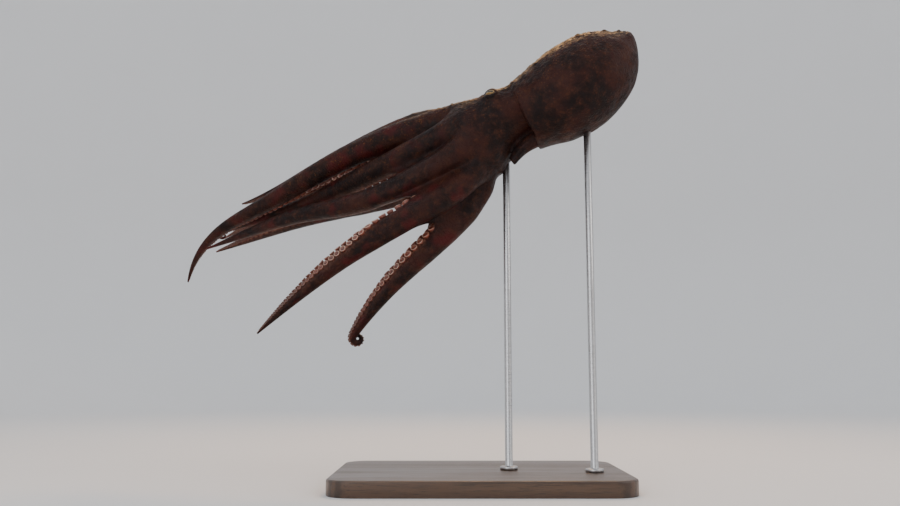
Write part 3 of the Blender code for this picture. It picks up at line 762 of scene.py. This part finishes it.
def makeSkin():    # the softened and roughened sheet, with the funnel's tube and the lids in the same mesh
    points, faces, marks = makeSkinGrid()
    dorsal, oral, along, loose = marks.T
    points = roughen(soften(points, faces, loose, skin["rounds"]), faces, dorsal, oral, along)
    tables = [(points, faces), makeFunnel(), makeLids(1), makeLids(-1)]
    more = [np.tile(own, (len(table[0]), 1)) for own, table in
            zip(((0, 0.16, 0), (0.55, 0, 0), (0.55, 0, 0)), tables[1:])]
    marks = np.concatenate([marks[:, :3], *more])
    piece = addMesh("skin", *joinTables(tables), dict(zip(("dorsal", "oral", "along"), marks.T)))
    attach(piece, "root")
    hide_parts(*[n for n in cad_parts
                         if n.startswith(("arm_", "web_")) or n in ("head", "mantle", "siphon")])
    return piece


skinPiece = makeSkin()
print("skin", len(skinPiece.data.polygons), "faces")

# suckers stand in two rows down the front of each arm, joined to one mesh for each arm
suckers = {
    "first": 0.012,     # from the crown
    "last": 0.004,      # from the arm's end
    "size": 0.365,      # radius, as a share of the arm's half width
    "least": 0.00042,
    "young": (0.42, 0.004, 0.05),    # their share of that by the mouth, and the stretch over which they grow
    "apart": 1.06,      # step from one to the next, in radii, as they take turns left and right
    "row": 0.44,        # how far each row stands from the middle, as a share of the arm's half width
    "vary": 0.05,       # of their sizes
    "lean": 0.10,       # of their axes
    "sides": 10,
    "cup": (            # radius, height, colour: 0 stalk, 1 rim, 0.3 inside
        (0.70, -0.30, 0.0), (0.97, 0.52, 0.7), (0.86, 0.68, 1.0), (0.52, 0.42, 0.45), (0.20, 0.20, 0.2)),
    "middles": ((-0.30, 0.0), (0.12, 0.1)),    # height and colour of the points that close foot and cup
}


def suckerPlaces(name):    # distances down the arm so that each step is as long as the sucker there is wide
    s = np.linspace(suckers["first"], arms[name][1] - suckers["last"], 2000)
    small, start, over = suckers["young"]
    grown = lerp(small, 1, ease((s - start) / over))
    radius = suckers["size"] * armHalves(name, s)[1] * grown + suckers["least"] * 0.3
    radius = np.maximum(radius, suckers["least"])
    count = np.concatenate([[0], np.cumsum(np.diff(s) / (suckers["apart"] * radius[:-1]))])
    whole = np.arange(int(count[-1]) + 1)
    return np.interp(whole, count, s), np.interp(whole, count, radius), np.where(whole % 2, 1.0, -1.0)


def makeSuckers(name):    # each is a cup profile turned round its own axis, which stands square on the skin
    s, radius, hand = suckerPlaces(name)
    chance = np.random.default_rng(40 + armNames.index(name))
    radius = radius * (1 + suckers["vary"] * chance.standard_normal(len(s)).clip(-2, 2))
    seat = np.where(hand > 0, seatAngle(name, "next", s), seatAngle(name, "prev", s)) + filletAngle(name, s)
    v = hand * math.asin(suckers["row"]) / (math.pi - seat)
    middle = onArmFront(name, s, v)
    ahead = onArmFront(name, s + 0.0004, v) - onArmFront(name, s - 0.0004, v)
    aside = onArmFront(name, s, v + 0.02) - onArmFront(name, s, v - 0.02)
    up = unit(np.cross(ahead, aside))
    up = up * np.sign(np.sum(up * (middle - armFrame(name, s)[0]), -1, keepdims=True))
    ahead = unit(ahead)
    lean = suckers["lean"] * chance.standard_normal((len(s), 1)).clip(-2, 2)
    up = unit(up + lean * ahead)
    ahead = unit(ahead - np.sum(ahead * up, -1, keepdims=True) * up)
    aside = np.cross(up, ahead)
    sides, cup, middles = suckers["sides"], suckers["cup"], suckers["middles"]
    a = roundSteps(sides)
    ring = np.cos(a)[:, None] * ahead[:, None] + np.sin(a)[:, None] * aside[:, None]
    size = radius[:, None, None]
    rows = [middle[:, None] + size * (r * ring + h * up[:, None]) for r, h, _ in cup]
    ends = [middle[:, None] + size * h * up[:, None] for h, _ in middles]
    points = np.concatenate(rows + ends, 1)
    per = points.shape[1]
    one = np.arange(sides * len(cup)).reshape(-1, sides)
    quads = gridFaces(one, flip=True)
    tris = np.concatenate([fanFaces(per - 2, one[0], flip=True), fanFaces(per - 1, one[-1])])
    start = (np.arange(len(s)) * per)[:, None, None]
    colours = np.concatenate([np.repeat([c for _, _, c in cup], sides), [c for _, c in middles]])
    piece = addMesh("suckers_" + name, points.reshape(-1, 3),
                    [(quads + start).reshape(-1, 4), (tris + start).reshape(-1, 3)],
                    {"cup": np.tile(colours, len(s)), "along": np.repeat(s / arms[name][1], per)})
    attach(piece, "root")
    return piece


suckerPieces = [makeSuckers(name) for name in arms]
print("suckers", sum(len(p.data.polygons) for p in suckerPieces), "faces")


def makeEye(side, name):    # a ball whose clear front bulges a little: radius times (1 + bulge cos^6)
    centre, out, level, upright = eyeAxes(side)
    tilt, a = np.linspace(0, math.pi, 34)[1:-1, None], roundSteps(48)
    flat = np.stack([np.sin(tilt) * np.cos(a), np.sin(tilt) * np.sin(a), np.cos(tilt) + 0 * a], -1)
    radius = eyes["radius"] * (1 + eyes["bulge"] * np.clip(np.cos(tilt), 0, 1) ** 6)
    front, rear = centre + out * eyes["radius"] * (1 + eyes["bulge"]), centre - out * eyes["radius"]
    rows = centre + radius[..., None] * (flat @ np.stack([level, upright, out]))
    uv = np.concatenate([flat.reshape(-1, 3)[:, :2], [[0, 0], [0, 0]]]) * 0.5 + 0.5
    piece = addMesh(name, *cappedGrid(rows, front, rear), uv=uv)
    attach(piece, "root")
    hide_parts(name)
    return piece


eyePieces = [makeEye(side, name) for side, name in ((1, "eye_left"), (-1, "eye_right"))]
print("eyes")

# the mouth is a frilled lip round the two halves of the beak
mouth = {
    "lip": (            # distance from the crown's axis, height over the crown
        (0.0122, 0.0004), (0.0123, 0.0020), (0.0118, 0.0040), (0.0108, 0.0062), (0.0095, 0.0078),
        (0.0080, 0.0088), (0.0064, 0.0090), (0.0053, 0.0084), (0.0047, 0.0070), (0.0046, 0.0050)),
    "floor": 0.0048,     # height of the lip's inner floor
    "frills": 22,
    "frill": 0.0005,
}
beakShape = {
    "root": 0.0050,      # height over the crown
    "gap": 0.0010,       # how far the root of each half stands off the middle
    "roundness": (0.72, 0.92),    # its half height and half width, as shares of its size
    "halves": (          # side, size, point's height, bend of the point
        (1, 0.0033, 0.0152, 0.0019), (-1, 0.0038, 0.0132, 0.0012)),
}


# the lip's profile turned round the crown's axis, with a wave of frills that is highest half way
def makeMouth():
    p, t, dorsal, left = bodyFrame(0.0)
    a, f = roundSteps(132), np.linspace(0, 1, 40)
    r, z = (smoothCurve(np.array(mouth["lip"])[:, k], f)[:, None] for k in (0, 1))
    wave = np.cos(mouth["frills"] * a + 0.7 * np.sin(3 * a)) * np.sin(math.pi * f[:, None]) ** 0.7
    r, z = r + mouth["frill"] * wave, z + mouth["frill"] * 0.8 * wave
    rows = p - t * z[..., None] + r[..., None] * (np.cos(a)[:, None] * dorsal + np.sin(a)[:, None] * left)
    piece = addMesh("lips", *cappedGrid(rows, p - t * mouth["lip"][0][1], p - t * mouth["floor"]),
                    {"rim": np.concatenate([np.repeat(f, len(a)), [0, 1]])})
    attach(piece, "root")
    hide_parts("mouth")
    return piece


def makeBeak():    # each half is an oval that narrows as (1 - f^1.7)^0.8 and bends over to its point
    p, t, dorsal, left = bodyFrame(0.0)
    f, a = np.linspace(0, 1, 22)[:-1, None], roundSteps(24)
    root, gap, (tall, wide) = beakShape["root"], beakShape["gap"], beakShape["roundness"]
    halves = []
    for side, size, point, bend in beakShape["halves"]:
        r = size * (1 - f**1.7) ** 0.8
        high = side * gap * (1 - f) + bend * f**2 + r * tall * np.cos(a)
        rows = (p - t * lerp(root, point, f)[..., None] + high[..., None] * dorsal
                + (r * wide * np.sin(a))[..., None] * left)
        halves.append(cappedGrid(rows, p - t * root + side * gap * dorsal, p - t * point + bend * dorsal))
    piece = addMesh("beak_halves", *joinTables(halves))
    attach(piece, "root")
    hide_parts("beak")
    return piece


lips, beak = makeMouth(), makeBeak()
print("mouth and beak")

# the display stand: a board and two rods
stand = {
    "board": (0.34, 0.23, 0.018),
    "corner": 0.030,
    "edge": 0.0026,      # rounding of the board's upper edge
    "foot": 0.0006,      # bevel of its lower edge
    "rod": 0.0045,
    "rodEnd": 0.0010,    # bevel of a rod's top
    "collar": (0.0105, 0.0042, 0.0003),    # radius, height and rounding of the collar at each rod's foot
    "shoulder": (0.0014, 0.0004),          # how far off the rod its top starts to rise and where it ends
}


def makeBoard():    # a rounded rectangle, drawn inwards as its side turns into its top
    x, y, z = stand["board"]
    corner, edge, foot = stand["corner"], stand["edge"], stand["foot"]
    quarter = np.repeat(np.arange(4), 15) * math.pi / 2
    a = quarter + np.tile(np.linspace(0, math.pi / 2, 15), 4)
    middle = np.stack([np.sign(np.cos(quarter + math.pi / 4)) * (x / 2 - corner),
                       np.sign(np.sin(quarter + math.pi / 4)) * (y / 2 - corner)], -1)
    turn = np.linspace(0, math.pi / 2, 7)
    inset = np.concatenate([[foot, 0, 0], edge * (1 - np.cos(turn[1:])), [corner * 0.5]])
    height = np.concatenate([[0, foot, z - edge], z - edge + edge * np.sin(turn[1:]), [z]])
    flat = middle + (corner - inset)[:, None, None] * np.stack([np.cos(a), np.sin(a)], -1)
    rows = np.concatenate([flat, np.broadcast_to(height[:, None, None], flat.shape[:2] + (1,))], -1)
    piece = addMesh("stand_board", *cappedGrid(rows, [0, 0, 0], [0, 0, z], flip=True))
    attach(piece, "root")
    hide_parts("stand_base")
    return piece


def makeRod(node):    # a collar and a rod as one turned profile, from the board up into the body
    low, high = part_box(node)
    x, y, z = (low.x + high.x) / 2, (low.y + high.y) / 2, stand["board"][2]
    radius, end, top = stand["rod"], stand["rodEnd"], high.z - z
    wide, tall, e = stand["collar"]
    start, stop = stand["shoulder"]
    profile = np.array([(wide, 0), (wide, tall - 3 * e), (wide - e, tall - e), (wide - 3 * e, tall),
                        (radius + start, tall), (radius + stop, tall + e), (radius, tall + 4 * e),
                        (radius, top / 2), (radius, top - end), (radius - end, top)])
    a = roundSteps(40)
    rows = np.array([x, y, z]) + np.stack([profile[:, :1] * np.cos(a), profile[:, :1] * np.sin(a),
                                           profile[:, 1:] + 0 * a], -1)
    piece = addMesh(node.replace("stand_rod", "stand_post"),
                    *cappedGrid(rows, [x, y, z], [x, y, high.z], flip=True))
    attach(piece, "root")
    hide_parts(node)
    return piece


board = makeBoard()
posts = [makeRod(node) for node in ("stand_rod_front", "stand_rod_rear")]
print("stand")


# materials: short names for the nodes that they are built from

def newMaterial(name):    # a material, its node tree and its shader
    material = bpy.data.materials.new(name)
    material.use_nodes = True
    return material, material.node_tree, material.node_tree.nodes["Principled BSDF"]


def addNode(tree, kind, inputs=None, **settings):    # a node, its settings, and its inputs as values or links
    made = tree.nodes.new("ShaderNode" + kind)
    for word, value in settings.items():
        setattr(made, word, value)
    for word, value in (inputs or {}).items():
        if isinstance(value, bpy.types.NodeSocket):
            tree.links.new(value, made.inputs[word])
        else:
            made.inputs[word].default_value = value
    return made


def mathNode(tree, operation, *values):    # a sum, root or other operation on values or links
    return addNode(tree, "Math", dict(enumerate(values)), operation=operation).outputs[0]


def times(tree, *values):    # the product of two or more
    product = values[0]
    for value in values[1:]:
        product = mathNode(tree, "MULTIPLY", product, value)
    return product


def vectorNode(tree, operation, one, other):    # other is a vector, or a number to scale by
    word = "Scale" if operation == "SCALE" else 1
    return addNode(tree, "VectorMath", {0: one, word: other}, operation=operation).outputs[0]


def mixColour(tree, share, one, two):    # the first colour at share 0, the second at 1
    sockets = {word: value if isinstance(value, bpy.types.NodeSocket) else (*value, 1)
               for word, value in ((6, one), (7, two))}
    return addNode(tree, "Mix", {0: share, **sockets}, data_type="RGBA").outputs[2]


def spread(tree, value, low, high, toLow=0.0, toHigh=1.0):    # a value moved from one range to another, eased
    return addNode(tree, "MapRange", {0: value, 1: low, 2: high, 3: toLow, 4: toHigh},
                   interpolation_type="SMOOTHSTEP").outputs[0]


def layer(tree, colour, over, value, *limits):    # lays a second colour over the first as a value rises
    return mixColour(tree, spread(tree, value, *limits), colour, over)


def noise(tree, vector, scale, detail=3.0, rough=0.55, distortion=0.0):    # scale is in waves to a metre
    return addNode(tree, "TexNoise", {"Vector": vector, "Scale": scale, "Detail": detail, "Roughness": rough,
                                      "Distortion": distortion}).outputs["Fac"]


def cells(tree, vector, scale, feature="F1", part="Distance"):    # distance to scattered points or borders
    return addNode(tree, "TexVoronoi", {"Vector": vector, "Scale": scale}, feature=feature).outputs[part]


def bump(tree, height, distance, strength, under=None):    # over another bump, if there is one
    sockets = {"Height": height, "Distance": distance, "Strength": strength}
    if under is not None:
        sockets["Normal"] = under
    return addNode(tree, "Bump", sockets).outputs[0]


def mark(tree, name):    # one of the mesh's own values
    return addNode(tree, "Attribute", attribute_name=name).outputs["Fac"]


def place(tree):    # the piece's own coordinates
    return addNode(tree, "TexCoord").outputs["Object"]


def stretch(tree, vector, scale):    # coordinates multiplied along each axis
    return addNode(tree, "Mapping", {"Vector": vector, "Scale": scale}).outputs[0]


# links the textures, with roughness kept between the look's limits, and sets the look's plain values
def dress(tree, shader, look, colour, roughness, normal=None):
    tree.links.new(colour, shader.inputs["Base Color"])
    tree.links.new(spread(tree, roughness, 0.3, 0.7, *look["roughness"]), shader.inputs["Roughness"])
    if normal is not None:
        tree.links.new(normal, shader.inputs["Normal"])
    for word, value in look.get("plain", {}).items():
        shader.inputs[word].default_value = value


skinLook = {
    "dark": (0.0080, 0.0030, 0.0030),
    "brown": (0.034, 0.0088, 0.0060),
    "patch": (0.066, 0.020, 0.0085),
    # ochre and fleck colour the back's granules and flecks, partly painted light from above
    "ochre": (0.22, 0.082, 0.014),
    "fleck": (0.24, 0.125, 0.038),
    "wine": (0.070, 0.0058, 0.0058),
    "front": (0.30, 0.135, 0.090),
    "frontDark": (0.095, 0.030, 0.024),
    "grains": 330.0,           # to a metre
    "roughness": (0.42, 0.64),
    "plain": {"Specular IOR Level": 0.15, "Coat Weight": 0.03, "Coat Roughness": 0.22,
              "Subsurface Weight": 0.04, "Subsurface Scale": 0.004},
}


# dark mottled ground, a net of darker lines, ochre granules on the back that are partly painted light from
# above, pale inner arms
def makeSkinMaterial():
    c = skinLook
    material, tree, shader = newMaterial("octopus_skin")
    at = place(tree)
    dorsal, oral, along = (mark(tree, word) for word in ("dorsal", "oral", "along"))
    warp = addNode(tree, "TexNoise", {"Vector": at, "Scale": 60.0, "Detail": 2.0}).outputs["Color"]
    bent = vectorNode(tree, "SCALE", vectorNode(tree, "SUBTRACT", warp, (0.5, 0.5, 0.5)), 0.006)
    bent = vectorNode(tree, "ADD", at, bent)
    broad = spread(tree, noise(tree, bent, 26.0, 4.0), 0.42, 0.66)
    middle = spread(tree, noise(tree, bent, 120.0, 5.0, 0.65), 0.42, 0.74)
    net = spread(tree, cells(tree, bent, 210.0, "DISTANCE_TO_EDGE"), 0.0, 0.22)
    clouds = spread(tree, noise(tree, at, 40.0, 2.0), 0.5, 0.72)
    colour = mixColour(tree, broad, c["dark"], c["brown"])
    colour = mixColour(tree, times(tree, middle, spread(tree, net, 0.0, 1.0, 0.35, 0.9)), colour, c["patch"])
    clouds = times(tree, clouds, spread(tree, along, 0.02, 0.25, 0.1, 0.75))
    colour = mixColour(tree, clouds, colour, c["wine"])
    # granules, thick along the back: partly the skin's own, partly painted light on the top that leaves the
    # underside dark as painted shade
    dot = spread(tree, cells(tree, bent, c["grains"]), 0.16, 0.40, 1.0, 0.0)
    kind = addNode(tree, "SeparateColor", {0: cells(tree, bent, c["grains"], part="Color")}).outputs[0]
    onBack = times(tree, spread(tree, dorsal, 0.30, 0.95, 0.08, 0.85),
                   spread(tree, along, 0.15, 0.75, 1.0, 0.15),
                   spread(tree, noise(tree, bent, 52.0, 4.0, 0.6), 0.40, 0.60, 0.12, 1.0))
    grains = times(tree, dot, spread(tree, kind, 0.25, 0.75), onBack, 0.85)
    colour = mixColour(tree, grains, colour, c["ochre"])
    # golden flecks on the back, partly the skin's own and partly painted light from above
    flecksAndTopLight = times(tree, spread(tree, cells(tree, at, 900.0), 0.10, 0.26, 1.0, 0.0),
                 spread(tree, noise(tree, at, 130.0, 2.0), 0.5, 0.62), onBack, 0.5)
    colour = mixColour(tree, flecksAndTopLight, colour, c["fleck"])
    # the sucker side, paler, with its own speckle
    front = layer(tree, c["frontDark"], c["front"], noise(tree, bent, 210.0, 4.0), 0.38, 0.62)
    speck = spread(tree, cells(tree, at, 1100.0), 0.15, 0.42, 0.75, 0.0)
    front = mixColour(tree, speck, front, c["wine"])
    colour = layer(tree, colour, front, oral, 0.30, 0.95, 0.0, 0.92)
    pores = spread(tree, cells(tree, at, 1500.0), 0.1, 0.6)
    colour = layer(tree, colour, c["dark"], pores, 0.0, 1.0, 0.22, 0.0)
    lift = bump(tree, noise(tree, bent, 420.0, 5.0, 0.6), 0.0009, 0.55)    # wrinkles
    lift = bump(tree, net, 0.0006, 0.45, lift)
    lift = bump(tree, times(tree, dot, onBack), 0.0012, 0.7, lift)
    lift = bump(tree, pores, 0.0003, 0.35, lift)
    dress(tree, shader, c, colour, noise(tree, bent, 140.0, 3.0), lift)
    return material


suckerLook = {
    "stalk": (0.060, 0.014, 0.011),
    "cup": (0.170, 0.052, 0.036),
    "rim": (0.68, 0.48, 0.37),
    "fine": (0.36, 0.105, 0.06),       # mottling in two sizes
    "broad": (0.36, 0.085, 0.040),
    "arm": (0.060, 0.020, 0.015),      # what they fade to at the arms' ends
    "roughness": (0.26, 0.42),
    "plain": {"Coat Weight": 0.3, "Coat Roughness": 0.12,
              "Subsurface Weight": 0.08, "Subsurface Scale": 0.002},
}


def makeSuckerMaterial():    # dark stalks and cups with cream rims, mottled, fading down the arm
    c = suckerLook
    material, tree, shader = newMaterial("sucker_skin")
    at = place(tree)
    cup, along = mark(tree, "cup"), mark(tree, "along")
    colour = mixColour(tree, spread(tree, cup, 0.05, 0.40), c["stalk"], c["cup"])
    colour = layer(tree, colour, c["rim"], cup, 0.62, 0.98)
    colour = layer(tree, colour, c["fine"], noise(tree, at, 320.0), 0.45, 0.75, 0.0, 0.5)
    colour = layer(tree, colour, c["broad"], noise(tree, at, 30.0, 1.0), 0.40, 0.62, 0.0, 0.45)
    colour = layer(tree, colour, c["arm"], along, 0.48, 0.88, 0.0, 0.72)
    lift = bump(tree, noise(tree, at, 1500.0, 2.0), 0.0003, 0.4)
    dress(tree, shader, c, colour, noise(tree, at, 500.0), lift)
    return material


eyeLook = {
    "iris": ((0.085, 0.038, 0.010), (0.36, 0.205, 0.062)),
    "spot": (0.05, 0.018, 0.008),
    "halo": (0.50, 0.37, 0.17),        # round the pupil
    "edge": (0.022, 0.009, 0.006),
    "pupil": (0.002, 0.002, 0.003),
    "bar": 0.34,                       # half length of the pupil's straight part, as a share of the radius
    "roughness": (0.10, 0.18),
    "plain": {"Specular IOR Level": 0.15, "Coat Weight": 0.55, "Coat Roughness": 0.02},
}


def makeEyeMaterial():    # a level bar of a pupil in a brassy iris, under a clear wet front
    c = eyeLook
    material, tree, shader = newMaterial("eye")
    uv = addNode(tree, "UVMap", uv_map="Surface").outputs[0]
    middle = vectorNode(tree, "SCALE", vectorNode(tree, "SUBTRACT", uv, (0.5, 0.5, 0.0)), 2.0)
    x, y = addNode(tree, "SeparateXYZ", {0: middle}).outputs[:2]
    # distance from the bar: the length past its end and the height, as sides of a right angle
    past = mathNode(tree, "MAXIMUM", mathNode(tree, "SUBTRACT", mathNode(tree, "ABSOLUTE", x), c["bar"]), 0.0)
    bar = mathNode(tree, "SQRT", mathNode(tree, "ADD", times(tree, past, past), times(tree, y, y)))
    ring = addNode(tree, "VectorMath", {0: middle}, operation="LENGTH").outputs["Value"]
    streaks = noise(tree, middle, 9.0, 5.0, 0.7, 1.5)
    colour = mixColour(tree, spread(tree, streaks, 0.35, 0.65), *c["iris"])
    colour = layer(tree, colour, c["spot"], noise(tree, middle, 30.0), 0.52, 0.66)
    colour = layer(tree, colour, c["halo"], bar, 0.16, 0.24, 0.65, 0.0)
    colour = layer(tree, colour, c["edge"], ring, 0.44, 0.74)
    colour = layer(tree, colour, c["pupil"], bar, 0.135, 0.155, 1.0, 0.0)
    dress(tree, shader, c, colour, streaks)
    return material


lipLook = {
    "root": (0.22, 0.085, 0.06),
    "rim": (0.58, 0.36, 0.27),
    "blotch": (0.15, 0.04, 0.03),
    "roughness": (0.28, 0.45),
}


def makeLipMaterial():    # paler from its root to its rim, blotched
    c = lipLook
    material, tree, shader = newMaterial("lip_skin")
    at = place(tree)
    colour = mixColour(tree, spread(tree, mark(tree, "rim"), 0.1, 0.8), c["root"], c["rim"])
    colour = layer(tree, colour, c["blotch"], noise(tree, at, 700.0, 4.0), 0.45, 0.7, 0.0, 0.6)
    lift = bump(tree, noise(tree, at, 1200.0, 4.0), 0.0004, 0.6)
    dress(tree, shader, c, colour, noise(tree, at, 400.0), lift)
    return material


beakLook = {
    "horn": ((0.010, 0.006, 0.005), (0.085, 0.035, 0.016)),
    "line": (0.12, 0.06, 0.03),
    "roughness": (0.16, 0.30),
}


def makeBeakMaterial():    # black and brown horn in clouds, with fine growth lines
    c = beakLook
    material, tree, shader = newMaterial("beak_horn")
    at = place(tree)
    growth = addNode(tree, "TexWave", {"Vector": at, "Scale": 260.0, "Distortion": 3.0,
                                       "Detail": 3.0}).outputs["Fac"]
    colour = mixColour(tree, spread(tree, noise(tree, at, 160.0), 0.4, 0.65), *c["horn"])
    colour = layer(tree, colour, c["line"], growth, 0.3, 0.9, 0.0, 0.35)
    dress(tree, shader, c, colour, noise(tree, at, 900.0), bump(tree, growth, 0.0001, 0.5))
    return material


woodLook = {
    "rings": ((0.040, 0.022, 0.013), (0.105, 0.058, 0.032)),
    "cloud": (0.062, 0.030, 0.017),
    "pore": (0.018, 0.010, 0.007),
    "ringScale": (2.2, 26.0, 26.0),
    "poreScale": (60.0, 1500.0, 1500.0),
    "roughness": (0.30, 0.44),
    "plain": {"Coat Weight": 0.25, "Coat Roughness": 0.22},
}


def makeWoodMaterial():    # dark-stained board: long rings bent by noise, pores drawn out along the grain
    c = woodLook
    material, tree, shader = newMaterial("stained_wood")
    at = place(tree)
    long = stretch(tree, at, c["ringScale"])
    warp = noise(tree, long, 1.1, 4.0, 0.6, 0.8)
    rings = addNode(tree, "TexWave", {"Vector": long, "Scale": 1.3, "Distortion": 5.5, "Detail": 4.0,
                                      "Detail Scale": 1.2}, bands_direction="Y").outputs["Fac"]
    pores = spread(tree, noise(tree, stretch(tree, at, c["poreScale"]), 1.0, 3.0, 0.7), 0.50, 0.66)
    colour = mixColour(tree, spread(tree, rings, 0.15, 0.85), *c["rings"])
    colour = layer(tree, colour, c["cloud"], warp, 0.35, 0.70, 0.0, 0.55)
    colour = mixColour(tree, times(tree, pores, 0.7), colour, c["pore"])
    dress(tree, shader, c, colour, warp, bump(tree, pores, 0.0002, 0.35))
    return material


steelLook = {
    "brush": ((0.46, 0.46, 0.47), (0.62, 0.62, 0.63)),
    "cloud": (0.40, 0.39, 0.38),
    "brushScale": (120.0, 120.0, 5200.0),
    "roughness": (0.24, 0.38),
    "plain": {"Metallic": 1.0},
}


def makeSteelMaterial():    # brushed round the rods: noise squeezed flat in height
    c = steelLook
    material, tree, shader = newMaterial("brushed_steel")
    at = place(tree)
    brush = noise(tree, stretch(tree, at, c["brushScale"]), 1.0, 3.0, 0.6)
    colour = mixColour(tree, spread(tree, brush, 0.3, 0.7), *c["brush"])
    colour = layer(tree, colour, c["cloud"], noise(tree, at, 25.0), 0.5, 0.8, 0.0, 0.3)
    dress(tree, shader, c, colour, brush, bump(tree, brush, 0.00005, 0.4))
    return material


def paint(material, *pieces):    # gives each piece this material alone
    for piece in pieces:
        piece.data.materials.clear()
        piece.data.materials.append(material)


paint(makeSkinMaterial(), skinPiece)
paint(makeSuckerMaterial(), *suckerPieces)
paint(makeEyeMaterial(), *eyePieces)
paint(makeLipMaterial(), lips)
paint(makeBeakMaterial(), beak)
paint(makeWoodMaterial(), board)
paint(makeSteelMaterial(), *posts)
print("materials")

# floor, light and camera
room = {
    "floor": (0.84, 0.85, 0.86),
    "wall": 2.3,              # radius at which the floor curves up into the wall
    "curve": 0.9,
    "height": 3.4,
    "sky": (0.94, 0.96, 1.0),
    "skyStrength": 1.0,
}
lamps = {    # place, the point it faces, width and height, watts, colour
    "above": ((0.15, 0.95, 1.45), (-0.02, 0.0, 0.42), (0.7, 0.4), 12, (1.0, 0.52, 0.17)),
    "front": ((-0.9, -1.5, 0.75), (-0.05, 0.0, 0.38), (1.2, 1.2), 8, (0.95, 0.98, 1.0)),
    "side": ((1.3, -0.6, 0.9), (0.0, 0.0, 0.42), (0.7, 0.9), 5, (1.0, 0.95, 0.88)),
}
camera = {
    "place": (-0.035, -1.063, 0.128),
    "climb": 8,
    "lens": 35,
}


def makeRoom():    # a round dish: floor, quarter circle and wall, turned round the model
    wall, curve, height = room["wall"], room["curve"], room["height"]
    bend = np.linspace(0, math.pi / 2, 21)
    r = np.concatenate([np.linspace(0.3, wall, 8)[:-1], wall + curve * np.sin(bend), [wall + curve]])
    z = np.concatenate([np.zeros(7), curve * (1 - np.cos(bend)), [height]])
    a = roundSteps(96)
    points = np.stack([r[:, None] * np.cos(a), r[:, None] * np.sin(a), z[:, None] + 0 * a], -1)
    index = np.arange(points[..., 0].size).reshape(points.shape[:2])
    piece = addMesh("studio_floor", np.concatenate([points.reshape(-1, 3), [[0, 0, 0]]]),
                    [gridFaces(index), fanFaces(index.size, index[0])])
    return piece


def makeFloorMaterial():    # one pale colour, very slightly clouded
    material, tree, shader = newMaterial("studio_floor")
    cloud = noise(tree, place(tree), 3.0, 4.0)
    colour = mixColour(tree, cloud, room["floor"], tuple(0.97 * c for c in room["floor"]))
    tree.links.new(colour, shader.inputs["Base Color"])
    shader.inputs["Roughness"].default_value = 0.75
    return material


def makeLamps():    # three soft rectangles and an even sky
    for name, (spot, target, size, watts, colour) in lamps.items():
        light = bpy.data.lights.new("lamp_" + name, "AREA")
        light.shape, light.size, light.size_y = "RECTANGLE", *size
        light.energy, light.color = watts, colour
        lamp = bpy.data.objects.new("lamp_" + name, light)
        bpy.context.scene.collection.objects.link(lamp)
        lamp.location = spot
        lamp.rotation_euler = (Vector(target) - Vector(spot)).to_track_quat("-Z", "Y").to_euler()
    world = bpy.data.worlds.new("studio_sky")
    world.use_nodes = True
    sky = world.node_tree.nodes["Background"]
    sky.inputs["Color"].default_value = (*room["sky"], 1)
    sky.inputs["Strength"].default_value = room["skyStrength"]
    bpy.context.scene.world = world


def makeCamera():    # low beside the board, looking up by its climb
    lens = bpy.data.cameras.new("camera")
    lens.lens, lens.sensor_width = camera["lens"], 36
    eye = bpy.data.objects.new("camera", lens)
    bpy.context.scene.collection.objects.link(eye)
    eye.location = camera["place"]
    eye.rotation_euler = (math.radians(90 + camera["climb"]), 0, 0)
    bpy.context.scene.camera = eye


paint(makeFloorMaterial(), makeRoom())
makeLamps()
makeCamera()
print("room, lamps and camera")
